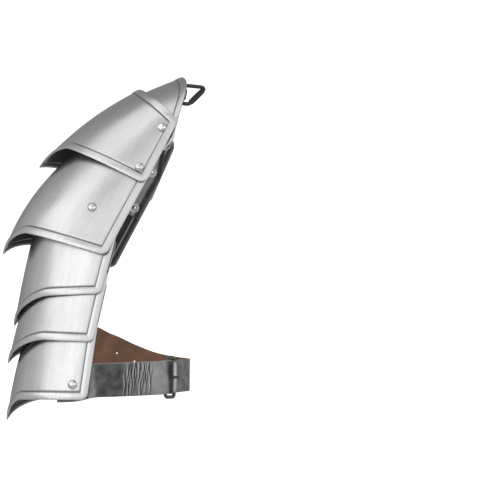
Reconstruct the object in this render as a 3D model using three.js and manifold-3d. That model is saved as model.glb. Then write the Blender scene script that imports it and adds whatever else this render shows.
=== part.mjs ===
// An articulated steel pauldron for the wearer's right shoulder, in millimetres.
// x runs from the outside of the arm towards the neck, y from front (minus) to back, z up.
import * as THREE from 'three';
import { mergeVertices } from 'three/addons/utils/BufferGeometryUtils.js';
import Module from 'manifold-3d';

const wasm = await Module();
wasm.setup();

// Driving dimensions
const height = 384;            // lowest tip to neck tip
const plateReach = 208;        // outermost tip to neck edge
const plateDepth = 160;        // front to back at the shoulder cap
const plateThickness = 1.5;
const borderWidth = 7.5;       // raised border along the free edges
const borderHeight = 0.8;
const borderRamp = 1.2;
const clearance = 0.3;         // between pieces that touch

const rivetRadius = 4.5;
const rivetHeight = 2.8;
const lowRivetHeight = 1.6;    // heads hidden between two lames
const shankRadius = 1.6;
const washerRadius = 5.8;
const washerThickness = 1;
const tailRadius = 2.5;
const tailHeight = 0.9;

const stripThickness = 2;      // leather strips that carry the plates
const edgeStripWidth = 20;
const flankStripWidth = 18;
const armStrapWidth = 36;
const armStrapThickness = 2.4;
const armStrapReach = 106;     // lowest lame's edge to the strap's inner end
const strapHoleRadius = 1.6;
const strapHolePitch = 23;

const buckleHeight = 47;
const buckleWidth = 21;
const buckleWire = 2;          // half thickness of the frame's bars
const farBarRadius = 2.8;      // its thicker bar under the tongue's point
const tongueRadius = 1.4;

const ringWire = 2.2;
const ringBarRadius = 3.3;      // the ring's thicker outer bar
const ringReach = 24;
const ringHeight = 35;

// Plates. Positions are shares of plateReach (x), height (z) and plateDepth (half depth);
// "spine" is the outermost line of a plate and "edge" its front and back side edge.
// bow: outward bulge of the spine, tip: drop of the pointed middle of the lower edge, both
// shares of height. span: the point's half width in degrees, at the front and at the back.
// bulge: how far the upper edge swells, share of height. backTrim: how much shorter the back
// half is at its side edge, at the top and at the bottom; backCut: how far its upper edge lies
// back at that side edge, both shares of plateReach.
const plates = [
  {
    name: 'neck_plate', topBorder: true, bottomBorder: false, corner: 3,
    spineTop: [0.966, 1.000], spineBottom: [0.673, 0.930], edgeTop: [0.942, 0.789], edgeBottom: [0.885, 0.752],
    halfDepthTop: 0.456, halfDepthBottom: 0.456, bow: 0.003, tip: 0, span: [36, 36], bulge: 0.026,
    backTrim: [0.100, 0.100], backCut: 0.060,
  },
  {
    name: 'shoulder_cap', topBorder: true, bottomBorder: true, corner: 9,
    spineTop: [0.738, 0.961], spineBottom: [0.310, 0.794], edgeTop: [0.962, 0.839], edgeBottom: [0.793, 0.656],
    halfDepthTop: 0.487, halfDepthBottom: 0.500, bow: 0.012, tip: 0.079, span: [31, 76], bulge: 0,
    backTrim: [0.024, 0], backCut: 0,
  },
  {
    name: 'upper_arm_plate', topBorder: false, bottomBorder: true, corner: 7,
    spineTop: [0.421, 0.786], spineBottom: [0.075, 0.547], edgeTop: [0.846, 0.719], edgeBottom: [0.596, 0.458],
    halfDepthTop: 0.462, halfDepthBottom: 0.475, bow: 0.019, tip: 0.070, span: [36, 47], bulge: 0,
    backTrim: [0, 0], backCut: 0,
  },
  {
    name: 'arm_lame_1', topBorder: false, bottomBorder: true, corner: 6,
    spineTop: [0.201, 0.573], spineBottom: [0.116, 0.349], edgeTop: [0.659, 0.542], edgeBottom: [0.572, 0.354],
    halfDepthTop: 0.431, halfDepthBottom: 0.431, bow: 0.002, tip: 0.078, span: [51, 62], bulge: 0,
    backTrim: [0.045, 0.045], backCut: 0,
  },
  {
    name: 'arm_lame_2', topBorder: false, bottomBorder: true, corner: 6,
    spineTop: [0.180, 0.411], spineBottom: [0.092, 0.234], edgeTop: [0.611, 0.417], edgeBottom: [0.534, 0.221],
    halfDepthTop: 0.409, halfDepthBottom: 0.419, bow: 0.002, tip: 0.070, span: [53, 60], bulge: 0,
    backTrim: [0.045, 0.045], backCut: 0,
  },
  {
    name: 'arm_lame_3', topBorder: false, bottomBorder: true, corner: 6,
    spineTop: [0.175, 0.281], spineBottom: [0.079, 0.065], edgeTop: [0.558, 0.281], edgeBottom: [0.505, 0.0625],
    halfDepthTop: 0.388, halfDepthBottom: 0.406, bow: 0.005, tip: 0.061, span: [34, 50], bulge: 0,
    backTrim: [0.045, 0.045], backCut: 0,
  },
];
const tipPower = 1.4;          // how sharply a point runs out
const plateColumns = 14;       // facets round a plate between its side borders
const plateRows = 3;           // facets down a plate between its borders
const facetDepth = 0.35;       // how far the flat facets lie inside a plate's true curve

const plateNamed = (name) => plates.find((plate) => plate.name === name);
const inPlane = ([x, z]) => new THREE.Vector2(x * plateReach, z * height);

// A plate's middle sheet: half an ellipse from back edge over the spine to front edge.
// angle runs from -90 degrees (back) to 90 (front); along is 0 at the top, 1 at the bottom.
function sheetPoint(plate, angle, along) {
  const spineTop = inPlane(plate.spineTop);
  const spineBottom = inPlane(plate.spineBottom);
  const run = spineBottom.clone().sub(spineTop);
  const down = run.clone().normalize();
  const outward = new THREE.Vector2(down.y, -down.x);
  const spine = spineTop.clone().addScaledVector(run, along);
  spine.addScaledVector(outward, 4 * plate.bow * height * along * (1 - along));
  const edge = inPlane(plate.edgeTop).lerp(inPlane(plate.edgeBottom), along);
  const place = spine.clone().lerp(edge, 1 - Math.cos(angle));
  const swell = plate.bulge * height * Math.sin(2 * angle) ** 2 * (1 - along);
  place.addScaledVector(down, -swell);
  const halfDepth = THREE.MathUtils.lerp(plate.halfDepthTop, plate.halfDepthBottom, along) * plateDepth;
  return new THREE.Vector3(place.x, -halfDepth * Math.sin(angle), place.y);
}

function tipShape(plate, angle) {
  const [frontSpan, backSpan] = plate.span;
  const share = 1 - THREE.MathUtils.radToDeg(Math.abs(angle)) / (angle < 0 ? backSpan : frontSpan);
  return Math.max(0, share) ** tipPower;
}

function sheetNormal(plate, angle, along) {
  const step = 1e-3;
  const acrossSheet = sheetPoint(plate, angle + step, along).sub(sheetPoint(plate, angle - step, along));
  const downSheet = sheetPoint(plate, angle, along + step).sub(sheetPoint(plate, angle, along - step));
  return downSheet.cross(acrossSheet).normalize();
}

// The place on a plate that lies at (x, z) when seen along y; side is -1 for the back half.
function placeOnPlate(plate, [x, z], side) {
  let angle = Math.PI / 3;
  let along = 0.5;
  const step = 1e-4;
  for (let turn = 0; turn < 12; turn += 1) {
    const here = sheetPoint(plate, angle, along);
    const turned = sheetPoint(plate, angle + step, along).sub(here).divideScalar(step);
    const lowered = sheetPoint(plate, angle, along + step).sub(here).divideScalar(step);
    const missX = x * plateReach - here.x;
    const missZ = z * height - here.z;
    const determinant = turned.x * lowered.z - lowered.x * turned.z;
    angle += (missX * lowered.z - lowered.x * missZ) / determinant;
    along += (turned.x * missZ - missX * turned.z) / determinant;
  }
  const point = sheetPoint(plate, side * angle, along);
  return { point, normal: sheetNormal(plate, side * angle, along) };
}

// A closed body through a row of sections. Each section is a loop whose first half runs one
// way and whose second half comes back beside it, so that the ends close pair by pair.
function loft(sections, ring = false) {
  const count = sections[0].length;
  const positions = sections.flat().flatMap((point) => [point.x, point.y, point.z]);
  const triangles = [];
  const quad = (a, b, c, d) => triangles.push(a, b, c, a, c, d);
  const spans = ring ? sections.length : sections.length - 1;
  for (let i = 0; i < spans; i += 1) {
    const next = (i + 1) % sections.length;
    for (let j = 0; j < count; j += 1) {
      const after = (j + 1) % count;
      quad(i * count + j, i * count + after, next * count + after, next * count + j);
    }
  }
  if (!ring) {
    const last = (sections.length - 1) * count;
    for (let j = 0; j < count / 2 - 1; j += 1) {
      quad(count - 1 - j, count - 2 - j, j + 1, j);
      quad(last + j, last + j + 1, last + count - 2 - j, last + count - 1 - j);
    }
  }
  return outwardFacing(positions, triangles);
}

function outwardFacing(positions, triangles) {
  const corner = (index) => new THREE.Vector3().fromArray(positions, 3 * index);
  let volume = 0;
  for (let i = 0; i < triangles.length; i += 3) {
    const [a, b, c] = [0, 1, 2].map((k) => corner(triangles[i + k]));
    volume += a.dot(b.cross(c));
  }
  if (volume < 0) triangles.reverse();
  const geometry = new THREE.BufferGeometry();
  geometry.setAttribute('position', new THREE.Float32BufferAttribute(positions, 3));
  geometry.setIndex(triangles);
  return geometry;
}

function toSolid(geometry) {
  const bare = geometry.clone();
  bare.deleteAttribute('normal');
  bare.deleteAttribute('uv');
  const merged = mergeVertices(bare, 1e-4);
  return new wasm.Manifold(new wasm.Mesh({
    numProp: 3,
    vertProperties: Float32Array.from(merged.attributes.position.array),
    triVerts: Uint32Array.from(merged.index.array),
  }));
}

function toGeometry(solid) {
  const mesh = solid.getMesh();
  const geometry = new THREE.BufferGeometry();
  geometry.setAttribute('position', new THREE.BufferAttribute(Float32Array.from(mesh.vertProperties), 3));
  geometry.setIndex(new THREE.BufferAttribute(Uint32Array.from(mesh.triVerts), 1));
  return geometry;
}

// Turns a body made along +y so that it points along a direction, and puts it at a point.
function placed(geometry, point, direction) {
  const turn = new THREE.Quaternion().setFromUnitVectors(new THREE.Vector3(0, 1, 0), direction);
  return geometry.clone().applyQuaternion(turn).translate(point.x, point.y, point.z);
}

function cutAway(geometry, cutters) {
  return toGeometry(cutters.reduce((solid, cutter) => solid.subtract(toSolid(cutter)), toSolid(geometry)));
}

// Plates
function plateGeometry(plate) {
  const inner = borderWidth + borderRamp;
  const edgeSteps = [0, plate.corner * 0.15, plate.corner * 0.5, borderWidth, inner];
  const width = (along) => {
    const spine = sheetPoint(plate, 0, along);
    return sheetPoint(plate, Math.PI / 2, along).setY(0).distanceTo(spine);
  };
  const columns = [];
  edgeSteps.forEach((gap) => columns.push({ side: -1, gap }));
  for (let i = 1; i < plateColumns; i += 1) columns.push({ share: (2 * i) / plateColumns - 1 });
  [...edgeSteps].reverse().forEach((gap) => columns.push({ side: 1, gap }));

  const trim = (side, along) => (
    side < 0 ? THREE.MathUtils.lerp(...plate.backTrim, along) * plateReach : 0);
  const angleOf = ({ side, gap, share }, along) => (side
    ? side * Math.acos((gap + trim(side, along)) / width(along))
    : share * Math.acos((inner + trim(share, along)) / width(along)));
  const spineLength = sheetPoint(plate, 0, 1).distanceTo(sheetPoint(plate, 0, 0));

  const sections = columns.map((column) => {
    const angle = angleOf(column, 0.5);
    const length = sheetPoint(plate, angle, 1).distanceTo(sheetPoint(plate, angle, 0));
    const gap = column.side ? Math.min(column.gap, plate.corner) : plate.corner;
    const rounding = plate.corner - Math.sqrt(plate.corner ** 2 - (plate.corner - gap) ** 2);
    const cut = plate.backCut * plateReach * Math.max(0, -Math.sin(angle));
    const top = (rounding + cut) / length;
    const bottom = 1 - rounding / length + (plate.tip * height * tipShape(plate, angle)) / spineLength;
    const topSteps = plate.topBorder ? [0, borderWidth, inner] : [0];
    const bottomSteps = plate.bottomBorder ? [inner, borderWidth, 0] : [0];
    const rows = [
      ...topSteps.map((step) => ({ along: top + step / length, raised: plate.topBorder && step < inner })),
      ...bottomSteps.map((step) => ({ along: bottom - step / length, raised: plate.bottomBorder && step < inner })),
    ];
    const from = rows[topSteps.length - 1].along;
    const to = rows[topSteps.length].along;
    for (let i = 1; i < plateRows; i += 1) {
      rows.splice(topSteps.length + i - 1, 0, { along: THREE.MathUtils.lerp(from, to, i / plateRows), raised: false });
    }
    const sideBorder = column.side && column.gap < inner;
    const outside = [];
    const inside = [];
    rows.forEach(({ along, raised }) => {
      const turned = angleOf(column, along);
      const normal = sheetNormal(plate, turned, along);
      const rise = raised || sideBorder ? borderHeight : 0;
      outside.push(sheetPoint(plate, turned, along).addScaledVector(normal, rise));
      inside.push(sheetPoint(plate, turned, along).addScaledVector(normal, rise - plateThickness));
    });
    return [...outside, ...inside.reverse()];
  });
  return loft(sections);
}

// Leather: a flat band along a row of stations, each with its centre and outward normal.
function band(stations, width, thickness) {
  const sections = stations.map(({ centre, normal }, i) => {
    const before = stations[Math.max(0, i - 1)].centre;
    const after = stations[Math.min(stations.length - 1, i + 1)].centre;
    const across = after.clone().sub(before).cross(normal).normalize();
    const corner = (sideways, outwards) => centre.clone()
      .addScaledVector(across, (sideways * width) / 2)
      .addScaledVector(normal, (outwards * thickness) / 2);
    return [corner(-1, 1), corner(1, 1), corner(1, -1), corner(-1, -1)];
  });
  return loft(sections);
}

// How deep a plate's curve is under a flat band of this width that runs across it
function hollowUnder(name, width) {
  return width ** 2 / (8 * plateNamed(name).halfDepthTop * plateDepth);
}

// A station on the inner face of a plate, below it by the clearance and any layers between.
function underPlate(name, place, side, thickness, layers = 0) {
  const { point, normal } = placeOnPlate(plateNamed(name), place, side);
  const depth = plateThickness + facetDepth + clearance + layers + thickness / 2;
  return { centre: point.addScaledVector(normal, -depth), normal };
}

function smoothed(stations, count) {
  const curve = new THREE.CatmullRomCurve3(stations.map((station) => station.centre), false, 'centripetal');
  const last = stations.length - 1;
  return Array.from({ length: count + 1 }, (_, i) => {
    const share = i / count;
    const at = Math.min(last - 1, Math.floor(share * last));
    const normal = stations[at].normal.clone().lerp(stations[at + 1].normal, share * last - at).normalize();
    return { centre: curve.getPoint(share), normal };
  });
}

// Places along the leather strips, shares of plateReach and height, with the plate above each
const edgeStrips = {
  front: [
    { plate: 'neck_plate', place: [0.905, 0.843] },
    { plate: 'neck_plate', place: [0.880, 0.818] },
    { plate: 'neck_plate', place: [0.852, 0.783] },
    { plate: 'upper_arm_plate', place: [0.808, 0.748] },
    { plate: 'upper_arm_plate', place: [0.763, 0.705] },
    { plate: 'upper_arm_plate', place: [0.705, 0.644] },
    { plate: 'upper_arm_plate', place: [0.684, 0.622] },
  ],
  back: [
    { plate: 'neck_plate', place: [0.836, 0.893] },
    { plate: 'neck_plate', place: [0.832, 0.864] },
    { plate: 'neck_plate', place: [0.828, 0.812] },
    { plate: 'upper_arm_plate', place: [0.808, 0.748] },
    { plate: 'upper_arm_plate', place: [0.763, 0.705] },
    { plate: 'upper_arm_plate', place: [0.705, 0.644] },
    { plate: 'upper_arm_plate', place: [0.684, 0.622] },
  ],
};
const flankStrip = [
  { plate: 'upper_arm_plate', place: [0.536, 0.622] },
  { plate: 'upper_arm_plate', place: [0.521, 0.595] },
  { plate: 'upper_arm_plate', place: [0.514, 0.581] },
  { plate: 'arm_lame_1', place: [0.500, 0.562] },
  { plate: 'arm_lame_1', place: [0.487, 0.508] },
  { plate: 'arm_lame_1', place: [0.478, 0.443] },
  { plate: 'arm_lame_2', place: [0.470, 0.421] },
  { plate: 'arm_lame_2', place: [0.463, 0.381] },
  { plate: 'arm_lame_2', place: [0.456, 0.310] },
  { plate: 'arm_lame_3', place: [0.452, 0.288] },
  { plate: 'arm_lame_3', place: [0.447, 0.253] },
  { plate: 'arm_lame_3', place: [0.444, 0.231] },
];
const flankBackShift = 0.045;  // how much further out the back flank's places lie

// A place of the flank strips and their rivets on its own side
const flankPlace = ([x, z], side) => [side < 0 ? x - flankBackShift : x, z];

function strip(table, width, side) {
  return table.map(({ plate, place }) => (
    underPlate(plate, place, side, stripThickness, hollowUnder(plate, width))));
}

// Arm strap loop. Its outer layer runs from its tip at the front, through the buckle, round
// the inner end and back to the lowest lame. out: share of armStrapReach past that lame's
// edge, depth: share of half plateDepth (front is minus), level: share of height.
const strapFrontRun = [
  { out: 0.09, depth: -0.762, level: 0.117 },
  { out: 0.30, depth: -0.735, level: 0.119 },
  { out: 0.55, depth: -0.675, level: 0.122 },
  { out: 0.74, depth: -0.605, level: 0.125 },
];
const heelBarPlace = { out: 0.80, depth: -0.487, level: 0.127 };
const strapBackRun = [
  { out: 0.925, depth: -0.10, level: 0.132 },
  { out: 0.995, depth: 0.04, level: 0.134 },
  { out: 1.010, depth: 0.17, level: 0.1355 },
  { out: 0.960, depth: 0.31, level: 0.138 },
  { out: 0.850, depth: 0.43, level: 0.1425 },
  { out: 0.620, depth: 0.575, level: 0.156 },
  { out: 0.380, depth: 0.675, level: 0.181 },
  { out: 0.180, depth: 0.735, level: 0.207 },
];
const strapBackAnchor = [[0.540, 0.220], [0.500, 0.231], [0.455, 0.241], [0.402, 0.249], [0.357, 0.256]];
const strapFrontAnchor = [[0.345, 0.1035], [0.431, 0.1055], [0.462, 0.108]];
const strapTip = [0.497, 0.1135];
const strapHoleCount = 7;
const buckleHeading = THREE.MathUtils.degToRad(72);
const heelHeading = THREE.MathUtils.degToRad(35);
const lowestLame = 'arm_lame_3';
const outerLayerSteps = 60;
const innerLayerSteps = 42;
const heelTurns = [0, 35, 70];           // degrees over which the strap rounds the heel bar
const foldTurns = [-90, -45, 0, 45, 90]; // degrees of its fold round that bar

function loopPlace({ out, depth, level }) {
  const edge = plateNamed(lowestLame).edgeBottom[0] * plateReach;
  return new THREE.Vector3(edge + out * armStrapReach, (depth * plateDepth) / 2, level * height);
}

const headingVector = (angle) => new THREE.Vector3(Math.cos(angle), Math.sin(angle), 0);
const outwardOf = (angle) => headingVector(angle - Math.PI / 2);
const heelBar = loopPlace(heelBarPlace);
const farBar = heelBar.clone().addScaledVector(headingVector(buckleHeading), buckleWidth);
const layer = armStrapThickness + clearance;
const foldRadius = buckleWire + clearance + armStrapThickness / 2;
const tongueOffset = buckleWire + clearance + tongueRadius;

function withNormals(points) {
  return points.map((centre, i) => {
    const before = points[Math.max(0, i - 1)];
    const after = points[Math.min(points.length - 1, i + 1)];
    const along = after.clone().sub(before);
    return { centre, normal: new THREE.Vector3(along.y, -along.x, 0).normalize() };
  });
}

function strapOuterLayer() {
  const heelRadius = tongueOffset + tongueRadius + 2 * clearance + armStrapThickness / 2;
  const roundHeel = heelTurns.map((turn) => heelBar.clone()
    .addScaledVector(outwardOf(heelHeading + THREE.MathUtils.degToRad(turn)), heelRadius));
  const underFarBar = farBar.clone()
    .addScaledVector(outwardOf(buckleHeading), -(farBarRadius + 3 * clearance + armStrapThickness / 2));
  const free = withNormals([
    ...strapFrontRun.map(loopPlace), ...roundHeel, underFarBar, ...strapBackRun.map(loopPlace),
  ]);
  const tip = underPlate(lowestLame, strapTip, 1, armStrapThickness);
  const flankDepth = hollowUnder(lowestLame, flankStripWidth) + stripThickness + 2 * clearance;
  const anchor = strapBackAnchor.map((place) => (
    underPlate(lowestLame, place, -1, armStrapThickness, flankDepth)));
  return smoothed([tip, ...free, ...anchor], outerLayerSteps);
}

function strapInnerLayer() {
  const anchor = strapFrontAnchor.map((place) => (
    underPlate(lowestLame, place, 1, armStrapThickness, clearance)));
  const underTip = underPlate(lowestLame, strapTip, 1, armStrapThickness, layer + 3 * clearance);
  const run = withNormals([...strapFrontRun.map(loopPlace), heelBar.clone()]).slice(0, -1)
    .map(({ centre, normal }) => ({ centre: centre.clone().addScaledVector(normal, -layer - clearance), normal }));
  const fold = foldTurns.map((turn) => {
    const normal = headingVector(heelHeading + THREE.MathUtils.degToRad(turn));
    return { centre: heelBar.clone().addScaledVector(normal, foldRadius), normal };
  });
  const inside = run.slice(-2).reverse().map(({ centre, normal }) => (
    { centre: centre.clone().addScaledVector(normal, -layer), normal: normal.clone().negate() }));
  return smoothed([...anchor, underTip, ...run, ...fold, ...inside], innerLayerSteps);
}

// Wire: round bar along points that lie in one plane; radius is one number or one a point
function wire(points, radius, planeNormal, { ring = false, sides = 7 } = {}) {
  const sections = points.map((point, i) => {
    const count = points.length;
    const before = ring ? points[(i + count - 1) % count] : points[Math.max(0, i - 1)];
    const after = ring ? points[(i + 1) % count] : points[Math.min(count - 1, i + 1)];
    const sideways = after.clone().sub(before).cross(planeNormal).normalize();
    return Array.from({ length: sides }, (_, k) => {
      const turn = (2 * Math.PI * k) / sides;
      return point.clone()
        .addScaledVector(sideways, (radius[i] ?? radius) * Math.cos(turn))
        .addScaledVector(planeNormal, (radius[i] ?? radius) * Math.sin(turn));
    });
  });
  return loft(sections, ring);
}

// Corners of a closed loop, each rounded over a length that grows as the corner gets sharper, so
// that a bar of this radius doesn't fold on itself; ease is how much longer than needed that is
const cornerSteps = 2;

function roundedCorners(corners, radius, ease) {
  return corners.flatMap((corner, i) => {
    const before = corners[(i + corners.length - 1) % corners.length].clone().sub(corner).normalize();
    const after = corners[(i + 1) % corners.length].clone().sub(corner).normalize();
    const bend = (ease * radius) / Math.tan(before.angleTo(after) / 2);
    const from = corner.clone().addScaledVector(before, bend);
    const to = corner.clone().addScaledVector(after, bend);
    return new THREE.QuadraticBezierCurve3(from, corner, to).getPoints(cornerSteps);
  });
}

// Radii of a rounded loop whose side after one corner is a thicker bar
function barRadii(points, corner, radius, thicker) {
  const barStart = corner * (cornerSteps + 1) - 1;
  return points.map((_, i) => ([barStart, barStart + 1].includes(i) ? thicker : radius));
}

const up = new THREE.Vector3(0, 0, 1);
const buckleEase = 2;

function buckleFrameGeometry() {
  const half = buckleHeight / 2 - buckleWire;
  const corners = [
    heelBar.clone().addScaledVector(up, -half), farBar.clone().addScaledVector(up, -half),
    farBar.clone().addScaledVector(up, half), heelBar.clone().addScaledVector(up, half),
  ];
  const points = roundedCorners(corners, buckleWire, buckleEase);
  const radii = barRadii(points, 2, buckleWire, farBarRadius);
  return wire(points, radii, outwardOf(buckleHeading), { ring: true });
}

const tongueLine = {
  start: heelBar.clone().addScaledVector(outwardOf(buckleHeading), tongueOffset),
  end: farBar.clone()
    .addScaledVector(outwardOf(buckleHeading), farBarRadius + clearance + tongueRadius)
    .addScaledVector(headingVector(buckleHeading), tongueRadius),
};

function buckleTongueGeometry() {
  const eye = [240, 200, 160, 120, 80, 40].map((turn) => heelBar.clone().addScaledVector(
    headingVector(buckleHeading - Math.PI / 2 - THREE.MathUtils.degToRad(turn)),
    tongueOffset,
  ));
  return wire([...eye, tongueLine.start, tongueLine.end], tongueRadius, up);
}

// Neck ring: a bent wire ring whose inner bar lies in the fold of the leather tab.
// Places of the tab, shares of plateReach and height, on the neck plate's inner face
const neckTabPlaces = [
  [0.725, 0.904], [0.752, 0.910], [0.795, 0.920], [0.850, 0.932], [0.895, 0.938], [0.935, 0.941],
];
const neckTabWidth = 14;
const ringDroop = THREE.MathUtils.degToRad(20);
const ringShortSide = 9;
const ringEase = 1.2;
const tabReturn = [1.2, 5];    // fold radii from the tab's end back to its tip
const tabSteps = 24;

const tabRun = neckTabPlaces.map((place) => (
  underPlate('neck_plate', place, 1, stripThickness, hollowUnder('neck_plate', neckTabWidth))));
const tabEnd = tabRun[tabRun.length - 1];
const tabAlong = tabEnd.centre.clone().sub(tabRun[tabRun.length - 2].centre).normalize();
tabAlong.addScaledVector(tabEnd.normal, -tabAlong.dot(tabEnd.normal)).normalize();
const ringFold = ringWire + 2 * clearance + stripThickness / 2;
const ringBar = tabEnd.centre.clone()
  .addScaledVector(tabAlong, 2 * ringFold)
  .addScaledVector(tabEnd.normal, -ringFold);
const ringAxis = tabAlong.clone().cross(tabEnd.normal).normalize();

function neckTabStations() {
  const around = (turn) => tabEnd.normal.clone().applyAxisAngle(ringAxis, -THREE.MathUtils.degToRad(turn));
  const fold = [0, 45, 90, 135, 180].map((turn) => (
    { centre: ringBar.clone().addScaledVector(around(turn), ringFold), normal: around(turn) }));
  const back = tabReturn.map((steps) => ({
    centre: tabEnd.centre.clone()
      .addScaledVector(tabEnd.normal, -(stripThickness + clearance))
      .addScaledVector(tabAlong, (1 - steps) * ringFold),
    normal: tabEnd.normal.clone().negate(),
  }));
  return smoothed([...tabRun, ...fold, ...back], tabSteps);
}

function neckRingGeometry() {
  const out = tabAlong.clone().applyAxisAngle(ringAxis, -ringDroop);
  const planeNormal = out.clone().cross(ringAxis).normalize();
  const at = (sideways, outwards) => ringBar.clone()
    .addScaledVector(ringAxis, sideways)
    .addScaledVector(out, outwards);
  const half = ringHeight / 2;
  const corners = [at(-half, 0), at(half, 0), at(half, ringShortSide), at(-half, ringReach)];
  const points = roundedCorners(corners, ringBarRadius, ringEase);
  return wire(points, barRadii(points, 3, ringWire, ringBarRadius), planeNormal, { ring: true });
}

// Rivets. place: shares of plateReach and height; outer: the plate under the head; inner: the
// plate that the leather lies under; low heads are hidden between two plates.
const edgeLeather = ['edge_strap'];
const flankLeather = ['flank_strap'];
const pairedRivets = [
  { name: 'upper_arm_rivet', outer: 'upper_arm_plate', at: [0.521, 0.595], leather: flankLeather },
  { name: 'lame_1_rivet', outer: 'arm_lame_1', at: [0.487, 0.508], leather: flankLeather, low: true },
  { name: 'lame_2_rivet', outer: 'arm_lame_2', at: [0.463, 0.381], leather: flankLeather, low: true },
];
const rivets = [
  ...pairedRivets.flatMap(({ at, ...rivet }) => (
    [1, -1].map((side) => ({ ...rivet, place: flankPlace(at, side), side })))),
  {
    name: 'cap_rivet_upper', outer: 'shoulder_cap', inner: 'neck_plate', place: [0.877, 0.818],
    side: 1, leather: edgeLeather,
  },
  {
    name: 'cap_rivet_lower', outer: 'shoulder_cap', inner: 'upper_arm_plate', place: [0.763, 0.705],
    side: 1, leather: edgeLeather,
  },
  {
    name: 'neck_rivet', outer: 'neck_plate', place: [0.832, 0.864], side: -1,
    leather: edgeLeather, low: true,
  },
  { name: 'cap_rivet', outer: 'shoulder_cap', place: [0.799, 0.755], side: -1, leather: edgeLeather },
  {
    name: 'upper_arm_edge_rivet', outer: 'upper_arm_plate', place: [0.705, 0.644], side: -1,
    leather: edgeLeather,
  },
  {
    name: 'lame_3_rivet', outer: 'arm_lame_3', place: [0.447, 0.253], side: 1,
    leather: flankLeather, low: true,
  },
  {
    name: 'arm_strap_rivet', outer: 'arm_lame_3', place: [0.402, 0.253], side: -1,
    leather: ['flank_strap', 'arm_strap'], low: true,
  },
  { name: 'arm_strap_rivet', outer: 'arm_lame_3', place: [0.431, 0.1055], side: 1, leather: ['arm_strap'] },
  {
    name: 'neck_tab_rivet', outer: 'neck_plate', place: neckTabPlaces[1], side: 1,
    leather: ['neck_tab'], low: true,
  },
];
const sideName = (side) => (side > 0 ? 'front' : 'back');
const highDome = [0.35, 0.7, 0.92]; // shares of a head's radius at which its dome bends
const lowDome = [0.8];
const tailTaper = 0.7;
const rivetSides = 10;
const lowRivetSides = 8;

// The leather pieces as rows of stations, by name and side
const leathers = {};
[1, -1].forEach((side) => {
  const flank = flankStrip.map(({ plate, place }) => ({ plate, place: flankPlace(place, side) }));
  leathers[`edge_strap_${sideName(side)}`] = {
    stations: strip(edgeStrips[sideName(side)], edgeStripWidth, side),
    width: edgeStripWidth,
    thickness: stripThickness,
  };
  leathers[`flank_strap_${sideName(side)}`] = {
    stations: strip(flank, flankStripWidth, side), width: flankStripWidth, thickness: stripThickness,
  };
});
leathers.arm_strap_front = {
  stations: strapInnerLayer(), width: armStrapWidth, thickness: armStrapThickness,
};
leathers.arm_strap_back = {
  stations: strapOuterLayer(), width: armStrapWidth, thickness: armStrapThickness,
};
leathers.neck_tab_front = { stations: neckTabStations(), width: neckTabWidth, thickness: stripThickness };

// Where a rivet sits: its seat on the outer plate, its axis, and how deep its innermost
// leather reaches, with room for a flat washer on its slant and curve.
function rivetSeat(rivet) {
  const { point, normal } = placeOnPlate(plateNamed(rivet.outer), rivet.place, rivet.side);
  const { stations, thickness } = leathers[`${rivet.leather.at(-1)}_${sideName(rivet.side)}`];
  const steps = 20;
  let nearest = { miss: Infinity };
  for (let i = 0; i < (stations.length - 1) * steps; i += 1) {
    const [from, to] = [stations[Math.floor(i / steps)], stations[Math.floor(i / steps) + 1]];
    const share = (i % steps) / steps;
    const offset = point.clone().sub(from.centre.clone().lerp(to.centre, share));
    const depth = offset.dot(normal);
    const miss = offset.addScaledVector(normal, -depth).length();
    const slant = Math.sin(normal.angleTo(from.normal.clone().lerp(to.normal, share)));
    if (depth > 0 && miss < nearest.miss) nearest = { miss, depth, slant };
  }
  const washerRoom = washerRadius * nearest.slant + washerRadius ** 2 / plateDepth;
  return { point, normal, depth: nearest.depth + thickness / 2 + washerRoom };
}

function rivetGeometry(rivet) {
  const { point, normal, depth } = rivetSeat(rivet);
  const headHeight = rivet.low ? lowRivetHeight : rivetHeight;
  const bottom = -(depth + 2 * clearance + washerThickness);
  const dome = (rivet.low ? lowDome : highDome).map((share) => (
    new THREE.Vector2(rivetRadius * share, clearance + headHeight * Math.sqrt(1 - share ** 2))));
  const profile = [
    new THREE.Vector2(0, bottom - tailHeight),
    new THREE.Vector2(tailRadius * tailTaper, bottom - tailHeight),
    new THREE.Vector2(tailRadius, bottom),
    new THREE.Vector2(shankRadius, bottom),
    new THREE.Vector2(shankRadius, clearance),
    new THREE.Vector2(rivetRadius, clearance),
    ...dome.reverse(),
    new THREE.Vector2(0, clearance + headHeight),
  ];
  return placed(new THREE.LatheGeometry(profile, rivet.low ? lowRivetSides : rivetSides), point, normal);
}

function washerGeometry(rivet) {
  const { point, normal, depth } = rivetSeat(rivet);
  const top = -(depth + clearance);
  const profile = [
    new THREE.Vector2(shankRadius + clearance, top - washerThickness),
    new THREE.Vector2(washerRadius, top - washerThickness),
    new THREE.Vector2(washerRadius, top),
    new THREE.Vector2(shankRadius + clearance, top),
    new THREE.Vector2(shankRadius + clearance, top - washerThickness),
  ];
  return placed(new THREE.LatheGeometry(profile, rivetSides), point, normal);
}

function rivetHole(rivet) {
  const { point, normal, depth } = rivetSeat(rivet);
  const length = depth + 4 * rivetHeight;
  const hole = new THREE.CylinderGeometry(shankRadius + clearance, shankRadius + clearance, length, 8);
  return placed(hole, point.clone().addScaledVector(normal, rivetHeight - depth / 2), normal);
}

function rivetHoles(test) {
  return rivets.filter(test).map(rivetHole);
}

// Holes of the arm strap: the tongue's slot, then punched holes at one pitch towards the back
const tongueSlotPlace = 0.28;  // share of the tongue's length
const tongueSlotReach = 0.7;   // share of the buckle's width
const curveSteps = 400;

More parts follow.
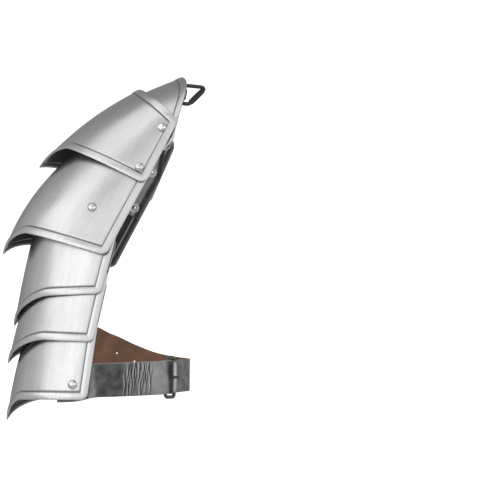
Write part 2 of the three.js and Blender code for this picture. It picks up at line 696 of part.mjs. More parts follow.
function strapHoles(stations) {
  const middle = tongueLine.start.clone().lerp(tongueLine.end, tongueSlotPlace);
  const reach = buckleWidth * tongueSlotReach;
  const slot = new THREE.CylinderGeometry(tongueRadius + clearance, tongueRadius + clearance, reach, 8);
  const holes = [placed(slot, middle, headingVector(buckleHeading))];
  const curve = new THREE.CatmullRomCurve3(stations.map((station) => station.centre));
  const lengths = curve.getLengths(curveSteps);
  const total = lengths[curveSteps];
  const crossing = lengths.findIndex((_, i) => (
    curve.getPoint(i / curveSteps).distanceTo(middle) < armStrapThickness));
  for (let i = 1; i <= strapHoleCount; i += 1) {
    const share = (lengths[crossing] + i * strapHolePitch) / total;
    const point = curve.getPointAt(share);
    const tangent = curve.getTangentAt(share);
    const punch = new THREE.CylinderGeometry(strapHoleRadius, strapHoleRadius, 3 * armStrapThickness, 8);
    holes.push(placed(punch, point, new THREE.Vector3(tangent.y, -tangent.x, 0).normalize()));
  }
  return holes;
}

// Slit at the fold of the front strap, where the tongue's eye turns on the bar
function tongueSlit() {
  const side = 2 * (tongueOffset + tongueRadius + clearance);
  const slit = new THREE.BoxGeometry(side, side, 2 * (tongueRadius + clearance));
  return slit.rotateZ(heelHeading).translate(heelBar.x, heelBar.y, heelBar.z);
}

// Finishes
const finish = (color, roughness, metalness) => new THREE.MeshStandardMaterial({ color, roughness, metalness });
const polishedSteel = finish('#d4d4d6', 0.25, 1);
const rivetSteel = finish('#dcdcde', 0.2, 1);
const darkIron = finish('#4a4a4c', 0.45, 0.9);
const blackLeather = finish('#3b3a3a', 0.6, 0);

const armour = new THREE.Group();
const seatPlate = plateNamed('shoulder_cap');
const seatAlong = 0.35;        // share of the cap's length down its spine
const seat = sheetPoint(seatPlate, 0, seatAlong)
  .addScaledVector(sheetNormal(seatPlate, 0, seatAlong), -plateThickness);
armour.position.copy(seat).negate();

function add(name, geometry, material) {
  const mesh = new THREE.Mesh(geometry, material);
  mesh.name = name;
  armour.add(mesh);
}

plates.forEach((plate) => {
  const holes = rivetHoles((rivet) => [rivet.outer, rivet.inner].includes(plate.name));
  add(plate.name, cutAway(plateGeometry(plate), holes), polishedSteel);
});

const cuts = {
  arm_strap_back: strapHoles(leathers.arm_strap_back.stations),
  arm_strap_front: [tongueSlit()],
};
Object.entries(leathers).forEach(([name, { stations, width, thickness }]) => {
  const holes = rivetHoles((rivet) => rivet.leather.some((leather) => `${leather}_${sideName(rivet.side)}` === name));
  const leather = cutAway(band(stations, width, thickness), [...holes, ...(cuts[name] ?? [])]);
  add(name.replace('neck_tab_front', 'neck_tab'), leather, blackLeather);
});
add('buckle_frame', buckleFrameGeometry(), darkIron);
add('buckle_tongue', buckleTongueGeometry(), darkIron);

add('neck_ring', neckRingGeometry(), darkIron);

rivets.forEach((rivet) => {
  add(`${rivet.name}_${sideName(rivet.side)}`, rivetGeometry(rivet), rivetSteel);
  add(`${rivet.name}_washer_${sideName(rivet.side)}`, washerGeometry(rivet), rivetSteel);
});

armour.updateMatrixWorld(true);

export default armour;
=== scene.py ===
import math

import bmesh
import bpy
import numpy as np
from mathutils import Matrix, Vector


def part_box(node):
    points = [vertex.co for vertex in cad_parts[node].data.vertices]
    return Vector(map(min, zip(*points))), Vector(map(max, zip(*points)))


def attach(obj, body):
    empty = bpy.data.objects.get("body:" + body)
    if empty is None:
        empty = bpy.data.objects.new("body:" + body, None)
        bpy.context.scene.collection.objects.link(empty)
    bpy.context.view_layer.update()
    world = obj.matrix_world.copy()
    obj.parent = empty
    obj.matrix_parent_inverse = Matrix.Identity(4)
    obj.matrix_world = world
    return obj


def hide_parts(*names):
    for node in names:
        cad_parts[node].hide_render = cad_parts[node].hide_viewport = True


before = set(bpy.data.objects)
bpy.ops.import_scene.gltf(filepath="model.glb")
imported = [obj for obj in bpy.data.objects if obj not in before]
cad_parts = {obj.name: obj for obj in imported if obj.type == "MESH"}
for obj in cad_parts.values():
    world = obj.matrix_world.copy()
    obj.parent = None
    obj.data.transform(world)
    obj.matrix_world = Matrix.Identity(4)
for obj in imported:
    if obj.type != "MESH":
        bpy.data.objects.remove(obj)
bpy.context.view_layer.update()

# ---------------------------------------------------------------- studio
# The armour hangs in the air as on a stand, before a white backdrop and over a pale floor. Soft
# boxes at the left, in front, overhead and at the right draw long pale bands on the polished
# plates, and the sky, darker behind the armour and above it, draws the grey ones.
SEAT = np.array([120.709, 0.0, 348.722])       # mm, where the frame's origin lies on the armour


def metres(points):
    """Places on the armour, in mm from its lowest outer tip, as metres in the frame:
    (place - SEAT) / 1000."""
    return (np.asarray(points, float) - SEAT) / 1000.0


AIM = np.array([280.0, 0.0, 190.85])
AZIMUTH, ELEVATION, DISTANCE = math.radians(-2.5), math.radians(-6.0), 1500.0
VIEW_WIDTH = 560.0                              # mm across the picture at the aim

towards = np.array([math.sin(AZIMUTH) * math.cos(ELEVATION),
                    -math.cos(AZIMUTH) * math.cos(ELEVATION), math.sin(ELEVATION)])
camera_data = bpy.data.cameras.new("camera")
camera_data.sensor_width = 36.0
camera_data.lens = 36.0 * DISTANCE / VIEW_WIDTH
camera = bpy.data.objects.new("camera", camera_data)
bpy.context.collection.objects.link(camera)
camera.location = Vector(metres(AIM + DISTANCE * towards))
camera.rotation_euler = Vector(-towards).to_track_quat("-Z", "Y").to_euler()
bpy.context.scene.camera = camera
bpy.context.scene.view_settings.view_transform = "Standard"


def new_material(name):
    """An empty node material and the Principled shader that ends it."""
    material = bpy.data.materials.new(name)
    material.use_nodes = True
    return material, material.node_tree.nodes["Principled BSDF"]


def feed(material, node, inputs):
    """Sets a shader node's inputs by name: a socket is linked, anything else is its value."""
    for key, value in inputs.items():
        if isinstance(value, bpy.types.NodeSocket):
            material.node_tree.links.new(value, node.inputs[key])
        else:
            node.inputs[key].default_value = value
    return node


def add_node(material, kind, inputs, **settings):
    """A new shader node of a kind, with its settings and its inputs."""
    node = material.node_tree.nodes.new("ShaderNode" + kind)
    for key, value in settings.items():
        setattr(node, key, value)
    return feed(material, node, inputs)


def mixed(material, share, first, second):
    """A colour socket: first where share is 0 and second where it is 1. Each is a socket or the
    red, green and blue of a colour."""
    first, second = (colour if isinstance(colour, bpy.types.NodeSocket) else (*colour, 1.0)
                     for colour in (first, second))
    return add_node(material, "Mix", {0: share, 6: first, 7: second}, data_type="RGBA").outputs[2]


FLOOR_LEVEL = -450.0
BACKDROP = 2600.0                               # mm behind the armour
floor_mesh = bpy.data.meshes.new("floor")
corners = metres([[-9000, -9000, FLOOR_LEVEL], [9000, -9000, FLOOR_LEVEL],
                  [9000, BACKDROP, FLOOR_LEVEL], [-9000, BACKDROP, FLOOR_LEVEL]])
floor_mesh.from_pydata(corners.tolist(), [], [(0, 1, 2, 3)])
floor = bpy.data.objects.new("floor", floor_mesh)
bpy.context.collection.objects.link(floor)
floor_paint, shader = new_material("floor_paint")
feed(floor_paint, shader, {"Base Color": (0.72, 0.72, 0.72, 1.0), "Roughness": 0.95})
floor_mesh.materials.append(floor_paint)

backdrop_mesh = bpy.data.meshes.new("backdrop")
corners = metres([[-620, BACKDROP, FLOOR_LEVEL], [1200, BACKDROP, FLOOR_LEVEL],
                  [1200, BACKDROP, 1500], [-620, BACKDROP, 1500]])
backdrop_mesh.from_pydata(corners.tolist(), [], [(0, 1, 2, 3)])
backdrop = bpy.data.objects.new("backdrop", backdrop_mesh)
bpy.context.collection.objects.link(backdrop)
backdrop_paint, shader = new_material("backdrop_paint")
feed(backdrop_paint, shader, {"Base Color": (0.9, 0.9, 0.9, 1.0), "Roughness": 0.95,
                              "Emission Color": (1.0, 1.0, 1.0, 1.0), "Emission Strength": 0.85})
backdrop_mesh.materials.append(backdrop_paint)

world = bpy.data.worlds.new("studio")
bpy.context.scene.world = world
world.use_nodes = True
sky, tree = world.node_tree.nodes["Background"], world.node_tree
sky.inputs["Color"].default_value = (1.0, 1.0, 1.0, 1.0)
looking = tree.nodes.new("ShaderNodeTexCoord")
split = tree.nodes.new("ShaderNodeSeparateXYZ")
level = tree.nodes.new("ShaderNodeMath")
level.operation = "MULTIPLY"
tree.links.new(looking.outputs["Generated"], split.inputs["Vector"])
for socket, axis, span in ((0, "Y", (-0.1, 0.9, 0.60, 0.26)), (1, "Z", (0.55, 0.9, 1.0, 0.6))):
    shade = tree.nodes.new("ShaderNodeMapRange")
    for key, number in zip(("From Min", "From Max", "To Min", "To Max"), span):
        shade.inputs[key].default_value = number
    tree.links.new(split.outputs[axis], shade.inputs["Value"])
    tree.links.new(shade.outputs["Result"], level.inputs[socket])
tree.links.new(level.outputs[0], sky.inputs["Strength"])


def soft_box(name, place, aim, size, power):
    """A rectangular lamp at a place in mm, turned to an aim, size in metres, power in watts."""
    lamp = bpy.data.lights.new(name, "AREA")
    lamp.shape = "RECTANGLE"
    lamp.size, lamp.size_y = size
    lamp.energy = power
    box = bpy.data.objects.new(name, lamp)
    bpy.context.collection.objects.link(box)
    box.location = Vector(metres(place))
    direction = Vector(metres(aim)) - box.location
    box.rotation_euler = direction.to_track_quat("-Z", "Z").to_euler()


MIDDLE = (90, 0, 190)
soft_box("left_box", (-1440, -1370, 800), (90, 0, 650), (1.1, 2.4), 7.6)
soft_box("front_box", (-300, -2700, 500), MIDDLE, (2.0, 1.6), 5.4)
soft_box("top_box", (-700, -1250, 2300), MIDDLE, (2.1, 1.9), 8.4)
soft_box("right_box", (1400, -1500, 500), (130, 40, 330), (1.2, 1.6), 5)

# ---------------------------------------------------------------- plates
# Six lames of 1.5 mm mild steel, cold hammered to half an ellipse and satin polished. A neck
# plate, a shoulder cap, an upper arm plate and three arm lames; each free edge is thrown up
# into a flat raised border with a sunk line behind it, and drops to a point in the middle.
HEIGHT = 384.0                                  # mm, lowest tip to neck tip
REACH = 208.0                                   # outer tip to neck edge
DEPTH = 160.0                                   # front to back
SHEET = 1.5
BORDER, RAMP, RISE = 7.5, 1.2, 0.8              # raised border: width, slope behind it, height
CROWN, EDGE_ROUND = 0.35, 0.35                  # how far the border swells, radius of the sheet's edges
LINE_DEPTH, LINE_WIDTH, LINE_GAP = 0.45, 0.55, 0.2
FACET = 0.35                                    # room that the strips under a plate keep

# Places are shares of REACH (x) and HEIGHT (z), half depths shares of DEPTH. spine is the
# outermost line and edge the side edge; bow its bulge, tip the point's drop, span its half
# width in degrees at the front and the back; back_trim and back_cut shorten the back half.
PLATES = {
    "neck_plate": dict(
        top_border=True, bottom_border=False, corner=3.0,
        spine=((0.966, 1.000), (0.673, 0.930)), edge=((0.942, 0.789), (0.885, 0.752)),
        half=(0.456, 0.456), bow=0.003, tip=0.0, span=(36, 36), bulge=0.026,
        back_trim=(0.100, 0.100), back_cut=0.060),
    "shoulder_cap": dict(
        top_border=True, bottom_border=True, corner=9.0,
        spine=((0.738, 0.961), (0.310, 0.794)), edge=((0.962, 0.839), (0.793, 0.656)),
        half=(0.487, 0.500), bow=0.012, tip=0.079, span=(31, 76), bulge=0.0,
        back_trim=(0.024, 0.0), back_cut=0.0),
    "upper_arm_plate": dict(
        top_border=False, bottom_border=True, corner=7.0,
        spine=((0.421, 0.786), (0.075, 0.547)), edge=((0.846, 0.719), (0.596, 0.458)),
        half=(0.462, 0.475), bow=0.019, tip=0.070, span=(36, 47), bulge=0.0,
        back_trim=(0.0, 0.0), back_cut=0.0),
    "arm_lame_1": dict(
        top_border=False, bottom_border=True, corner=6.0,
        spine=((0.201, 0.573), (0.116, 0.349)), edge=((0.659, 0.542), (0.572, 0.354)),
        half=(0.431, 0.431), bow=0.002, tip=0.078, span=(51, 62), bulge=0.0,
        back_trim=(0.045, 0.045), back_cut=0.0),
    "arm_lame_2": dict(
        top_border=False, bottom_border=True, corner=6.0,
        spine=((0.180, 0.411), (0.092, 0.234)), edge=((0.611, 0.417), (0.534, 0.221)),
        half=(0.409, 0.419), bow=0.002, tip=0.070, span=(53, 60), bulge=0.0,
        back_trim=(0.045, 0.045), back_cut=0.0),
    "arm_lame_3": dict(
        top_border=False, bottom_border=True, corner=6.0,
        spine=((0.175, 0.281), (0.079, 0.065)), edge=((0.558, 0.281), (0.505, 0.0625)),
        half=(0.388, 0.406), bow=0.005, tip=0.061, span=(34, 50), bulge=0.0,
        back_trim=(0.045, 0.045), back_cut=0.0),
}


def unit(vectors):
    """Vectors divided by their lengths."""
    return vectors / np.linalg.norm(vectors, axis=-1, keepdims=True)


def tip_shape(plate, angle):
    """1 on the spine, falling to 0 at the point's span: (1 - |angle| / span) to the power 1.4."""
    span = np.where(angle < 0, plate["span"][1], plate["span"][0])
    return np.clip(1 - np.degrees(np.abs(angle)) / span, 0, None) ** 1.4


def sheet(plate, angle, along):
    """A plate's outer face without its border. Seen along y a point lies between the spine and
    the side edge by 1 - cos(angle), and its depth is half the plate's depth times sin(angle).
    The spine bows out as a parabola, 4 bow along (1 - along)."""
    angle, along = np.broadcast_arrays(np.asarray(angle, float), np.asarray(along, float))
    top, bottom = (np.multiply(place, (REACH, HEIGHT)) for place in plate["spine"])
    down = unit(bottom - top)
    outward = np.array([down[1], -down[0]])
    far = along[..., None]
    spine = top + (bottom - top) * far + outward * 4 * plate["bow"] * HEIGHT * far * (1 - far)
    edge_top, edge_bottom = (np.multiply(place, (REACH, HEIGHT)) for place in plate["edge"])
    edge = edge_top + (edge_bottom - edge_top) * far
    place = spine + (edge - spine) * (1 - np.cos(angle))[..., None]
    swell = plate["bulge"] * HEIGHT * np.sin(2 * angle) ** 2 * (1 - along)
    place = place - down * swell[..., None]
    half = (plate["half"][0] + (plate["half"][1] - plate["half"][0]) * along) * DEPTH
    return np.stack([place[..., 0], -half * np.sin(angle), place[..., 1]], -1)


def sheet_normal(plate, angle, along):
    """The outward normal: the direction down the plate crossed with the direction round it."""
    step = 1e-3
    across = sheet(plate, angle + step, along) - sheet(plate, angle - step, along)
    down = sheet(plate, angle, along + step) - sheet(plate, angle, along - step)
    return unit(np.cross(down, across))


def build(name, points, faces, material, uv=None, values=None):
    """A closed smooth piece from an array of points in mm and arrays of face corners. uv is one
    pair a point; values are named numbers, one a point."""
    used = np.unique(np.concatenate([np.ravel(part) for part in faces]))
    renumber = np.full(len(points), -1)
    renumber[used] = np.arange(len(used))
    faces = [renumber[part] for part in faces]
    mesh = bpy.data.meshes.new(name)
    mesh.vertices.add(len(used))
    mesh.vertices.foreach_set("co", metres(points)[used].ravel())
    corner_list = np.concatenate([part.ravel() for part in faces])
    sizes = np.concatenate([np.full(len(part), part.shape[1]) for part in faces])
    mesh.loops.add(len(corner_list))
    mesh.loops.foreach_set("vertex_index", corner_list)
    mesh.polygons.add(len(sizes))
    mesh.polygons.foreach_set("loop_start", np.concatenate([[0], np.cumsum(sizes)[:-1]]))
    mesh.polygons.foreach_set("use_smooth", np.ones(len(sizes), bool))
    mesh.update(calc_edges=True)
    if uv is not None:
        layer = mesh.uv_layers.new(name="UVMap")
        layer.data.foreach_set("uv", np.asarray(uv, float)[used][corner_list].ravel())
    for key, numbers in (values or {}).items():
        attribute = mesh.attributes.new(key, "FLOAT", "POINT")
        attribute.data.foreach_set("value", np.asarray(numbers, float)[used])
    worked = bmesh.new()
    worked.from_mesh(mesh)
    bmesh.ops.recalc_face_normals(worked, faces=worked.faces)
    worked.to_mesh(mesh)
    worked.free()
    mesh.validate()
    mesh.materials.append(material)
    piece = bpy.data.objects.new(name, mesh)
    bpy.context.collection.objects.link(piece)
    return piece


def shell_faces(keep):
    """Faces of a closed shell: the kept cells of an outer grid, the same cells of the inner grid
    after it, and a rim wherever a kept cell has no kept neighbour."""
    rows, columns = keep.shape[0] + 1, keep.shape[1] + 1
    count = rows * columns
    index = np.arange(count).reshape(rows, columns)
    outer = np.stack([index[:-1, :-1], index[:-1, 1:], index[1:, 1:], index[1:, :-1]], -1)[keep]
    start, end = outer.ravel(), np.roll(outer, -1, axis=1).ravel()
    border = ~np.isin(start * count + end, end * count + start)
    start, end = start[border], end[border]
    rim = np.stack([end, start, start + count, end + count], -1)
    return np.concatenate([outer, outer[:, ::-1] + count, rim])


MIDDLE_COLUMNS, MIDDLE_ROWS = 64, 40            # cells of a plate between the steps at its edges
EDGE_STEPS = np.array([0, 0.1, 0.3, 0.6, 1.2, 2.2, 3.4, 4.6, 5.6, 6.4, 7.0, 7.5, 7.9, 8.3, 8.7,
                       9.1, 9.5, 10.0, 11.0, 12.5])


def plate_shell(plate):
    """The plate's outer and inner face on one grid. Columns stand at set gaps from the side
    edges and rows at set gaps from the top and bottom edges. Its height over the bare sheet is
    a function of the distance from the nearest edge: border, crown, slope and sunk line."""
    middle = np.linspace(-1, 1, MIDDLE_COLUMNS + 2)[1:-1]
    count, nought = len(EDGE_STEPS), np.zeros(MIDDLE_COLUMNS)
    side = np.concatenate([-np.ones(count), nought, np.ones(count)])[:, None]
    gap = np.concatenate([EDGE_STEPS, nought, EDGE_STEPS[::-1]])[:, None]
    share = np.concatenate([np.zeros(count), middle, np.zeros(count)])[:, None]

    def width(along):
        across = sheet(plate, math.pi / 2, along) - sheet(plate, 0.0, along)
        return np.hypot(across[..., 0], across[..., 2])

    def trim(along):
        shorter = plate["back_trim"][0] * (1 - along) + plate["back_trim"][1] * along
        return np.where(side + share < 0, shorter * REACH, 0)

    def turned(along):
        by_gap = side * np.arccos(np.clip((gap + trim(along)) / width(along), -1, 1))
        by_share = share * np.arccos((EDGE_STEPS[-1] + trim(along)) / width(along))
        return np.where(side != 0, by_gap, by_share)

    halfway = np.full((len(side), 1), 0.5)
    angle = turned(halfway)
    gap_there = width(halfway) * np.cos(angle) - trim(halfway)
    length = np.linalg.norm(sheet(plate, angle, 1.0) - sheet(plate, angle, 0.0), axis=-1)
    spine_length = np.linalg.norm(sheet(plate, 0.0, 1.0) - sheet(plate, 0.0, 0.0))
    corner = plate["corner"]
    rounding = corner - np.sqrt(corner ** 2 - np.clip(corner - gap_there, 0, None) ** 2)
    lowest = 1 + plate["tip"] * HEIGHT * tip_shape(plate, angle) / spine_length
    cut = plate["back_cut"] * REACH * np.clip(-np.sin(angle), 0, None)
    first = (rounding + cut + EDGE_STEPS) / length
    last = lowest - (rounding + EDGE_STEPS[::-1]) / length
    between = np.linspace(0, 1, MIDDLE_ROWS + 2)[1:-1]
    along = np.concatenate([first, first[:, -1:] * (1 - between) + last[:, :1] * between, last], 1)

    def to_corner(down):
        near = (gap_there < corner) & (down < corner)
        round_one = corner - np.hypot(corner - gap_there, corner - down)
        return np.where(near, round_one, np.minimum(gap_there, down))

    from_top = to_corner(along * length - cut)
    from_bottom = to_corner((lowest - along) * length)
    from_edge = np.minimum(from_top, from_bottom)
    distance = gap_there * np.ones_like(along)
    if plate["top_border"]:
        distance = np.minimum(distance, from_top)
    if plate["bottom_border"]:
        distance = np.minimum(distance, from_bottom)
    slope = np.clip((distance - BORDER) / RAMP, 0, 1)
    rise = RISE * (1 - slope ** 2 * (3 - 2 * slope))
    crown = CROWN * np.clip(1 - (2 * distance / BORDER - 1) ** 2, 0, None)
    line = -LINE_DEPTH * np.exp(-((distance - BORDER - RAMP - LINE_GAP) / LINE_WIDTH) ** 2)
    lip = EDGE_ROUND - np.sqrt(EDGE_ROUND ** 2 - np.clip(EDGE_ROUND - from_edge, 0, EDGE_ROUND) ** 2)
    turn = turned(along)
    place = sheet(plate, turn, along)
    normal = sheet_normal(plate, turn, along)
    outside = place + normal * (rise + crown + line - lip)[..., None]
    inside = place + normal * (rise + 0.6 * crown + 0.7 * line + lip - SHEET)[..., None]
    low_row = place[:, count + MIDDLE_ROWS]
    around = np.cumsum(np.linalg.norm(np.diff(low_row, axis=0, prepend=low_row[:1]), axis=1))
    uv = np.stack([np.broadcast_to(around[:, None], along.shape), along * length], -1) / 100
    # sunk marks the groove behind the border, which the steel paints dark grey as shade.
    sunk = np.exp(-((distance - BORDER - RAMP) / 0.65) ** 2)
    # On the inner face the ridge behind the border is made bare steel as a painted highlight, and the sheet's
    # own edge is bare steel.
    wear_and_light = 0.9 * np.exp(-((distance - BORDER - 0.5) / 0.6) ** 2)
    wear_and_light = wear_and_light + 0.95 * np.exp(-(distance / 2.2) ** 2)
    return outside, inside, uv, sunk, 1 - wear_and_light


def bumped(material, shader, layers):
    """Stacks bumps on a shader's normal. Each layer is a height socket, a strength and a
    distance in metres."""
    normal = {}
    for height, strength, distance in layers:
        bump = add_node(material, "Bump", {"Height": height, "Strength": strength,
                                           "Distance": distance, **normal})
        normal = {"Normal": bump.outputs["Normal"]}
    feed(material, shader, normal)


def steel(name, tone, shine):
    """Satin polished mild steel: roughness drifts in soft clouds, fine polishing lines run down
    the plate, broad low waves are left by the hammer, and the sunk line is painted dark as
    shade. The inner face is left black from the fire; where the inner attribute is low it is
    bare steel: at its very edge, and along the ridge behind the border as a painted highlight."""
    material, shader = new_material(name)
    where = add_node(material, "TexCoord", {})
    stretch = add_node(material, "Mapping", {"Vector": where.outputs["UV"], "Scale": (55.0, 2.2, 1.0)})
    streaks = add_node(material, "TexNoise", {"Vector": stretch.outputs["Vector"], "Scale": 1.0,
                                              "Detail": 6.0})
    clouds = add_node(material, "TexNoise", {"Vector": where.outputs["Object"], "Scale": 22.0, "Detail": 4.0})
    waves = add_node(material, "TexNoise", {"Vector": where.outputs["Object"], "Scale": 28.0, "Detail": 1.0})
    sunk = add_node(material, "Attribute", {}, attribute_name="sunk")
    inner = add_node(material, "Attribute", {}, attribute_name="inner")
    tone = np.array(tone)
    bright = mixed(material, streaks.outputs["Fac"], 0.80 * tone, 1.14 * tone)
    # The sunk line is painted dark grey: painted shade in the groove behind the border.
    lined = mixed(material, sunk.outputs["Fac"], bright, (0.17, 0.17, 0.175))
    fire = mixed(material, clouds.outputs["Fac"], (0.008, 0.008, 0.009), (0.07, 0.07, 0.073))
    both = mixed(material, inner.outputs["Fac"], lined, fire)
    rough = add_node(material, "MapRange", {"Value": clouds.outputs["Fac"], "From Min": 0.3, "From Max": 0.7,
                                            "To Min": shine - 0.04, "To Max": shine + 0.06})
    duller = add_node(material, "Math", {0: inner.outputs["Fac"], 1: 0.3, 2: rough.outputs["Result"]},
                      operation="MULTIPLY_ADD")
    bare = add_node(material, "Math", {0: 1.0, 1: inner.outputs["Fac"]}, operation="SUBTRACT")
    feed(material, shader, {"Base Color": both, "Metallic": bare.outputs[0], "Roughness": duller.outputs[0]})
    bumped(material, shader, [(streaks.outputs["Fac"], 0.08, 0.0004), (waves.outputs["Fac"], 0.3, 0.002)])
    return material


plate_steel = steel("plate_steel", (0.665, 0.665, 0.67), 0.29)
for name, plate in PLATES.items():
    outside, inside, uv, sunk, black = plate_shell(plate)
    points = np.concatenate([outside.reshape(-1, 3), inside.reshape(-1, 3)])
    keep = np.ones((outside.shape[0] - 1, outside.shape[1] - 1), bool)
    piece = build(name + "_fine", points, [shell_faces(keep)], plate_steel,
                  uv=np.concatenate([uv.reshape(-1, 2)] * 2),
                  values={"sunk": np.concatenate([sunk.ravel(), 0 * sunk.ravel()]),
                          "inner": np.concatenate([0 * black.ravel(), black.ravel()])})
    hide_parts(name)
    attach(piece, "armour")

# ---------------------------------------------------------------- leather strips
# Strips of 2 mm black hide inside the front and back edges join the neck plate to the upper arm
# plate, and strips inside the flanks carry the arm lames. They are cut straight, follow the
# plates step by step and are riveted to each, so that the plates slide over each other.
CLEARANCE = 0.3
STRIP, EDGE_WIDTH, FLANK_WIDTH = 2.0, 20.0, 18.0
BACK_SHIFT = 0.045                              # how much further out the back flank lies
EDGE_PLACES = {
    1: [("neck_plate", 0.905, 0.843), ("neck_plate", 0.880, 0.818), ("neck_plate", 0.852, 0.783)],
    -1: [("neck_plate", 0.836, 0.893), ("neck_plate", 0.832, 0.864), ("neck_plate", 0.828, 0.812)],
}
EDGE_END = [("upper_arm_plate", 0.808, 0.748), ("upper_arm_plate", 0.763, 0.705),
            ("upper_arm_plate", 0.705, 0.644), ("upper_arm_plate", 0.684, 0.622)]
FLANK_PLACES = [
    ("upper_arm_plate", 0.536, 0.622), ("upper_arm_plate", 0.521, 0.595), ("upper_arm_plate", 0.514, 0.581),
    ("arm_lame_1", 0.500, 0.562), ("arm_lame_1", 0.487, 0.508), ("arm_lame_1", 0.478, 0.443),
    ("arm_lame_2", 0.470, 0.421), ("arm_lame_2", 0.463, 0.381), ("arm_lame_2", 0.456, 0.310),
    ("arm_lame_3", 0.452, 0.288), ("arm_lame_3", 0.447, 0.253), ("arm_lame_3", 0.444, 0.231),
]


def place_on_plate(name, place, side):
    """The point and normal of a plate at shares of REACH and HEIGHT, seen along y, on its front
    (side 1) or its back (-1): Newton's method on sheet(angle, along)."""
    plate = PLATES[name]
    goal = np.multiply(place, (REACH, HEIGHT))
    spot, step = np.array([math.pi / 3, 0.5]), 1e-4
    for _ in range(12):
        here = sheet(plate, spot[0], spot[1])[[0, 2]]
        turned = (sheet(plate, spot[0] + step, spot[1])[[0, 2]] - here) / step
        lowered = (sheet(plate, spot[0], spot[1] + step)[[0, 2]] - here) / step
        spot = spot + np.linalg.solve(np.stack([turned, lowered], -1), goal - here)
    return sheet(plate, side * spot[0], spot[1]), sheet_normal(plate, side * spot[0], spot[1])


def hollow(name, width):
    """How deep a plate's curve is under a flat strip that runs across it: w^2 / (8 radius)."""
    return width ** 2 / (8 * PLATES[name]["half"][0] * DEPTH)


def under_plate(name, place, side, thickness, layers=0.0):
    """The centre and normal of a strap under a plate, below it by the layers between."""
    point, normal = place_on_plate(name, place, side)
    return point - normal * (SHEET + FACET + CLEARANCE + layers + thickness / 2), normal


def smooth_path(stations):
    """A centre line through stations (centre, normal): centripetal Catmull-Rom spans of 40
    steps, with the normals turning evenly between stations, and the distance run along it."""
    points, normals = (np.array([station[k] for station in stations]) for k in (0, 1))
    padded = np.concatenate([[2 * points[0] - points[1]], points, [2 * points[-1] - points[-2]]])
    a, b, c, d = (padded[i:len(padded) - 3 + i] for i in range(4))
    ab, bc, cd = (np.sqrt(np.linalg.norm(q - p, axis=1))[:, None] for p, q in ((a, b), (b, c), (c, d)))
    leave = ((b - a) / ab - (c - a) / (ab + bc) + (c - b) / bc) * bc
    arrive = ((c - b) / bc - (d - b) / (bc + cd) + (d - c) / cd) * bc
    t = np.linspace(0, 1, 40, endpoint=False)[:, None, None]
    spans = ((2 * t ** 3 - 3 * t ** 2 + 1) * b + (t ** 3 - 2 * t ** 2 + t) * leave
             + (3 * t ** 2 - 2 * t ** 3) * c + (t ** 3 - t ** 2) * arrive)
    line = np.concatenate([spans.transpose(1, 0, 2).reshape(-1, 3), points[-1:]])
    turned = ((1 - t) * normals[:-1] + t * normals[1:]).transpose(1, 0, 2).reshape(-1, 3)
    run = np.concatenate([[0], np.cumsum(np.linalg.norm(np.diff(line, axis=0), axis=1))])
    return line, unit(np.concatenate([turned, normals[-1:]])), run


BEVEL = 0.7                                     # rounding of a strap's cut edges
CUT_STEPS = np.array([0, 0.06, 0.2, 0.42, 0.7, 1.3])


def between_edges(length, spacing):
    """Places from 0 to length: close together at both edges and evenly spaced between."""
    count = round((length - 2 * CUT_STEPS[-1]) / spacing)
    middle = np.linspace(CUT_STEPS[-1], length - CUT_STEPS[-1], count + 1)[1:-1]
    return np.concatenate([CUT_STEPS, middle, length - CUT_STEPS[::-1]])


def band_shell(path, width, thickness, spacing=1.2, lift=None, holes=()):
    """A flat strap along a path as an outer and an inner grid. At a distance d from its edge it
    is thinner by BEVEL - sqrt(BEVEL^2 - (BEVEL - d)^2). lift gives the height of its creases
    from the places along and across. holes are (along, half length, half width): the cells
    round the middle of a hole are drawn out onto its ellipse."""
    line, normals, run = path
    rows, columns = between_edges(run[-1], spacing), between_edges(width, spacing) - width / 2
    along, across = (grid.copy() for grid in np.meshgrid(rows, columns, indexing="ij"))
    keep = np.ones((len(rows) - 1, len(columns) - 1), bool)
    for middle, reach, spread in holes:
        i, j = np.argmin(np.abs(rows - middle)), len(columns) // 2
        across_cells, along_cells = 2, max(2, round(reach / spacing))
        down = (np.arange(len(rows)) - i)[:, None] / along_cells
        over = (np.arange(len(columns)) - j)[None, :] / across_cells
        ring = np.maximum(np.abs(down), np.abs(over))
        radius = np.maximum(np.hypot(down, over), 1e-9)
        pull = np.clip(2 - ring, 0, 1)
        along += pull * (rows[i] + ring * reach * down / radius - along)
        across += pull * (columns[j] + ring * spread * over / radius - across)
        keep[i - along_cells:i + along_cells, j - across_cells:j + across_cells] = False

    def at(values):
        return np.stack([np.interp(along, run, values[:, k]) for k in range(3)], -1)

    normal = unit(at(normals))
    sideways = unit(np.cross(at(unit(np.gradient(line, axis=0))), normal))
    edge = np.minimum(np.minimum(along, run[-1] - along), width / 2 - np.abs(across))
    lip = BEVEL - np.sqrt(BEVEL ** 2 - np.clip(BEVEL - edge, 0, BEVEL) ** 2)
    height = thickness / 2 - lip
    base = at(line) + sideways * across[..., None]
    crease = lift(along, across) if lift else 0 * along
    outside = base + normal * (height + crease)[..., None]
    inside = base + normal * (0.6 * crease - height)[..., None]
    uv = np.stack([across, along], -1) / 100
    return dict(points=np.stack([outside, inside]), uv=uv, keep=keep, along=along,
                rim=np.exp(-(edge / 0.7) ** 2))


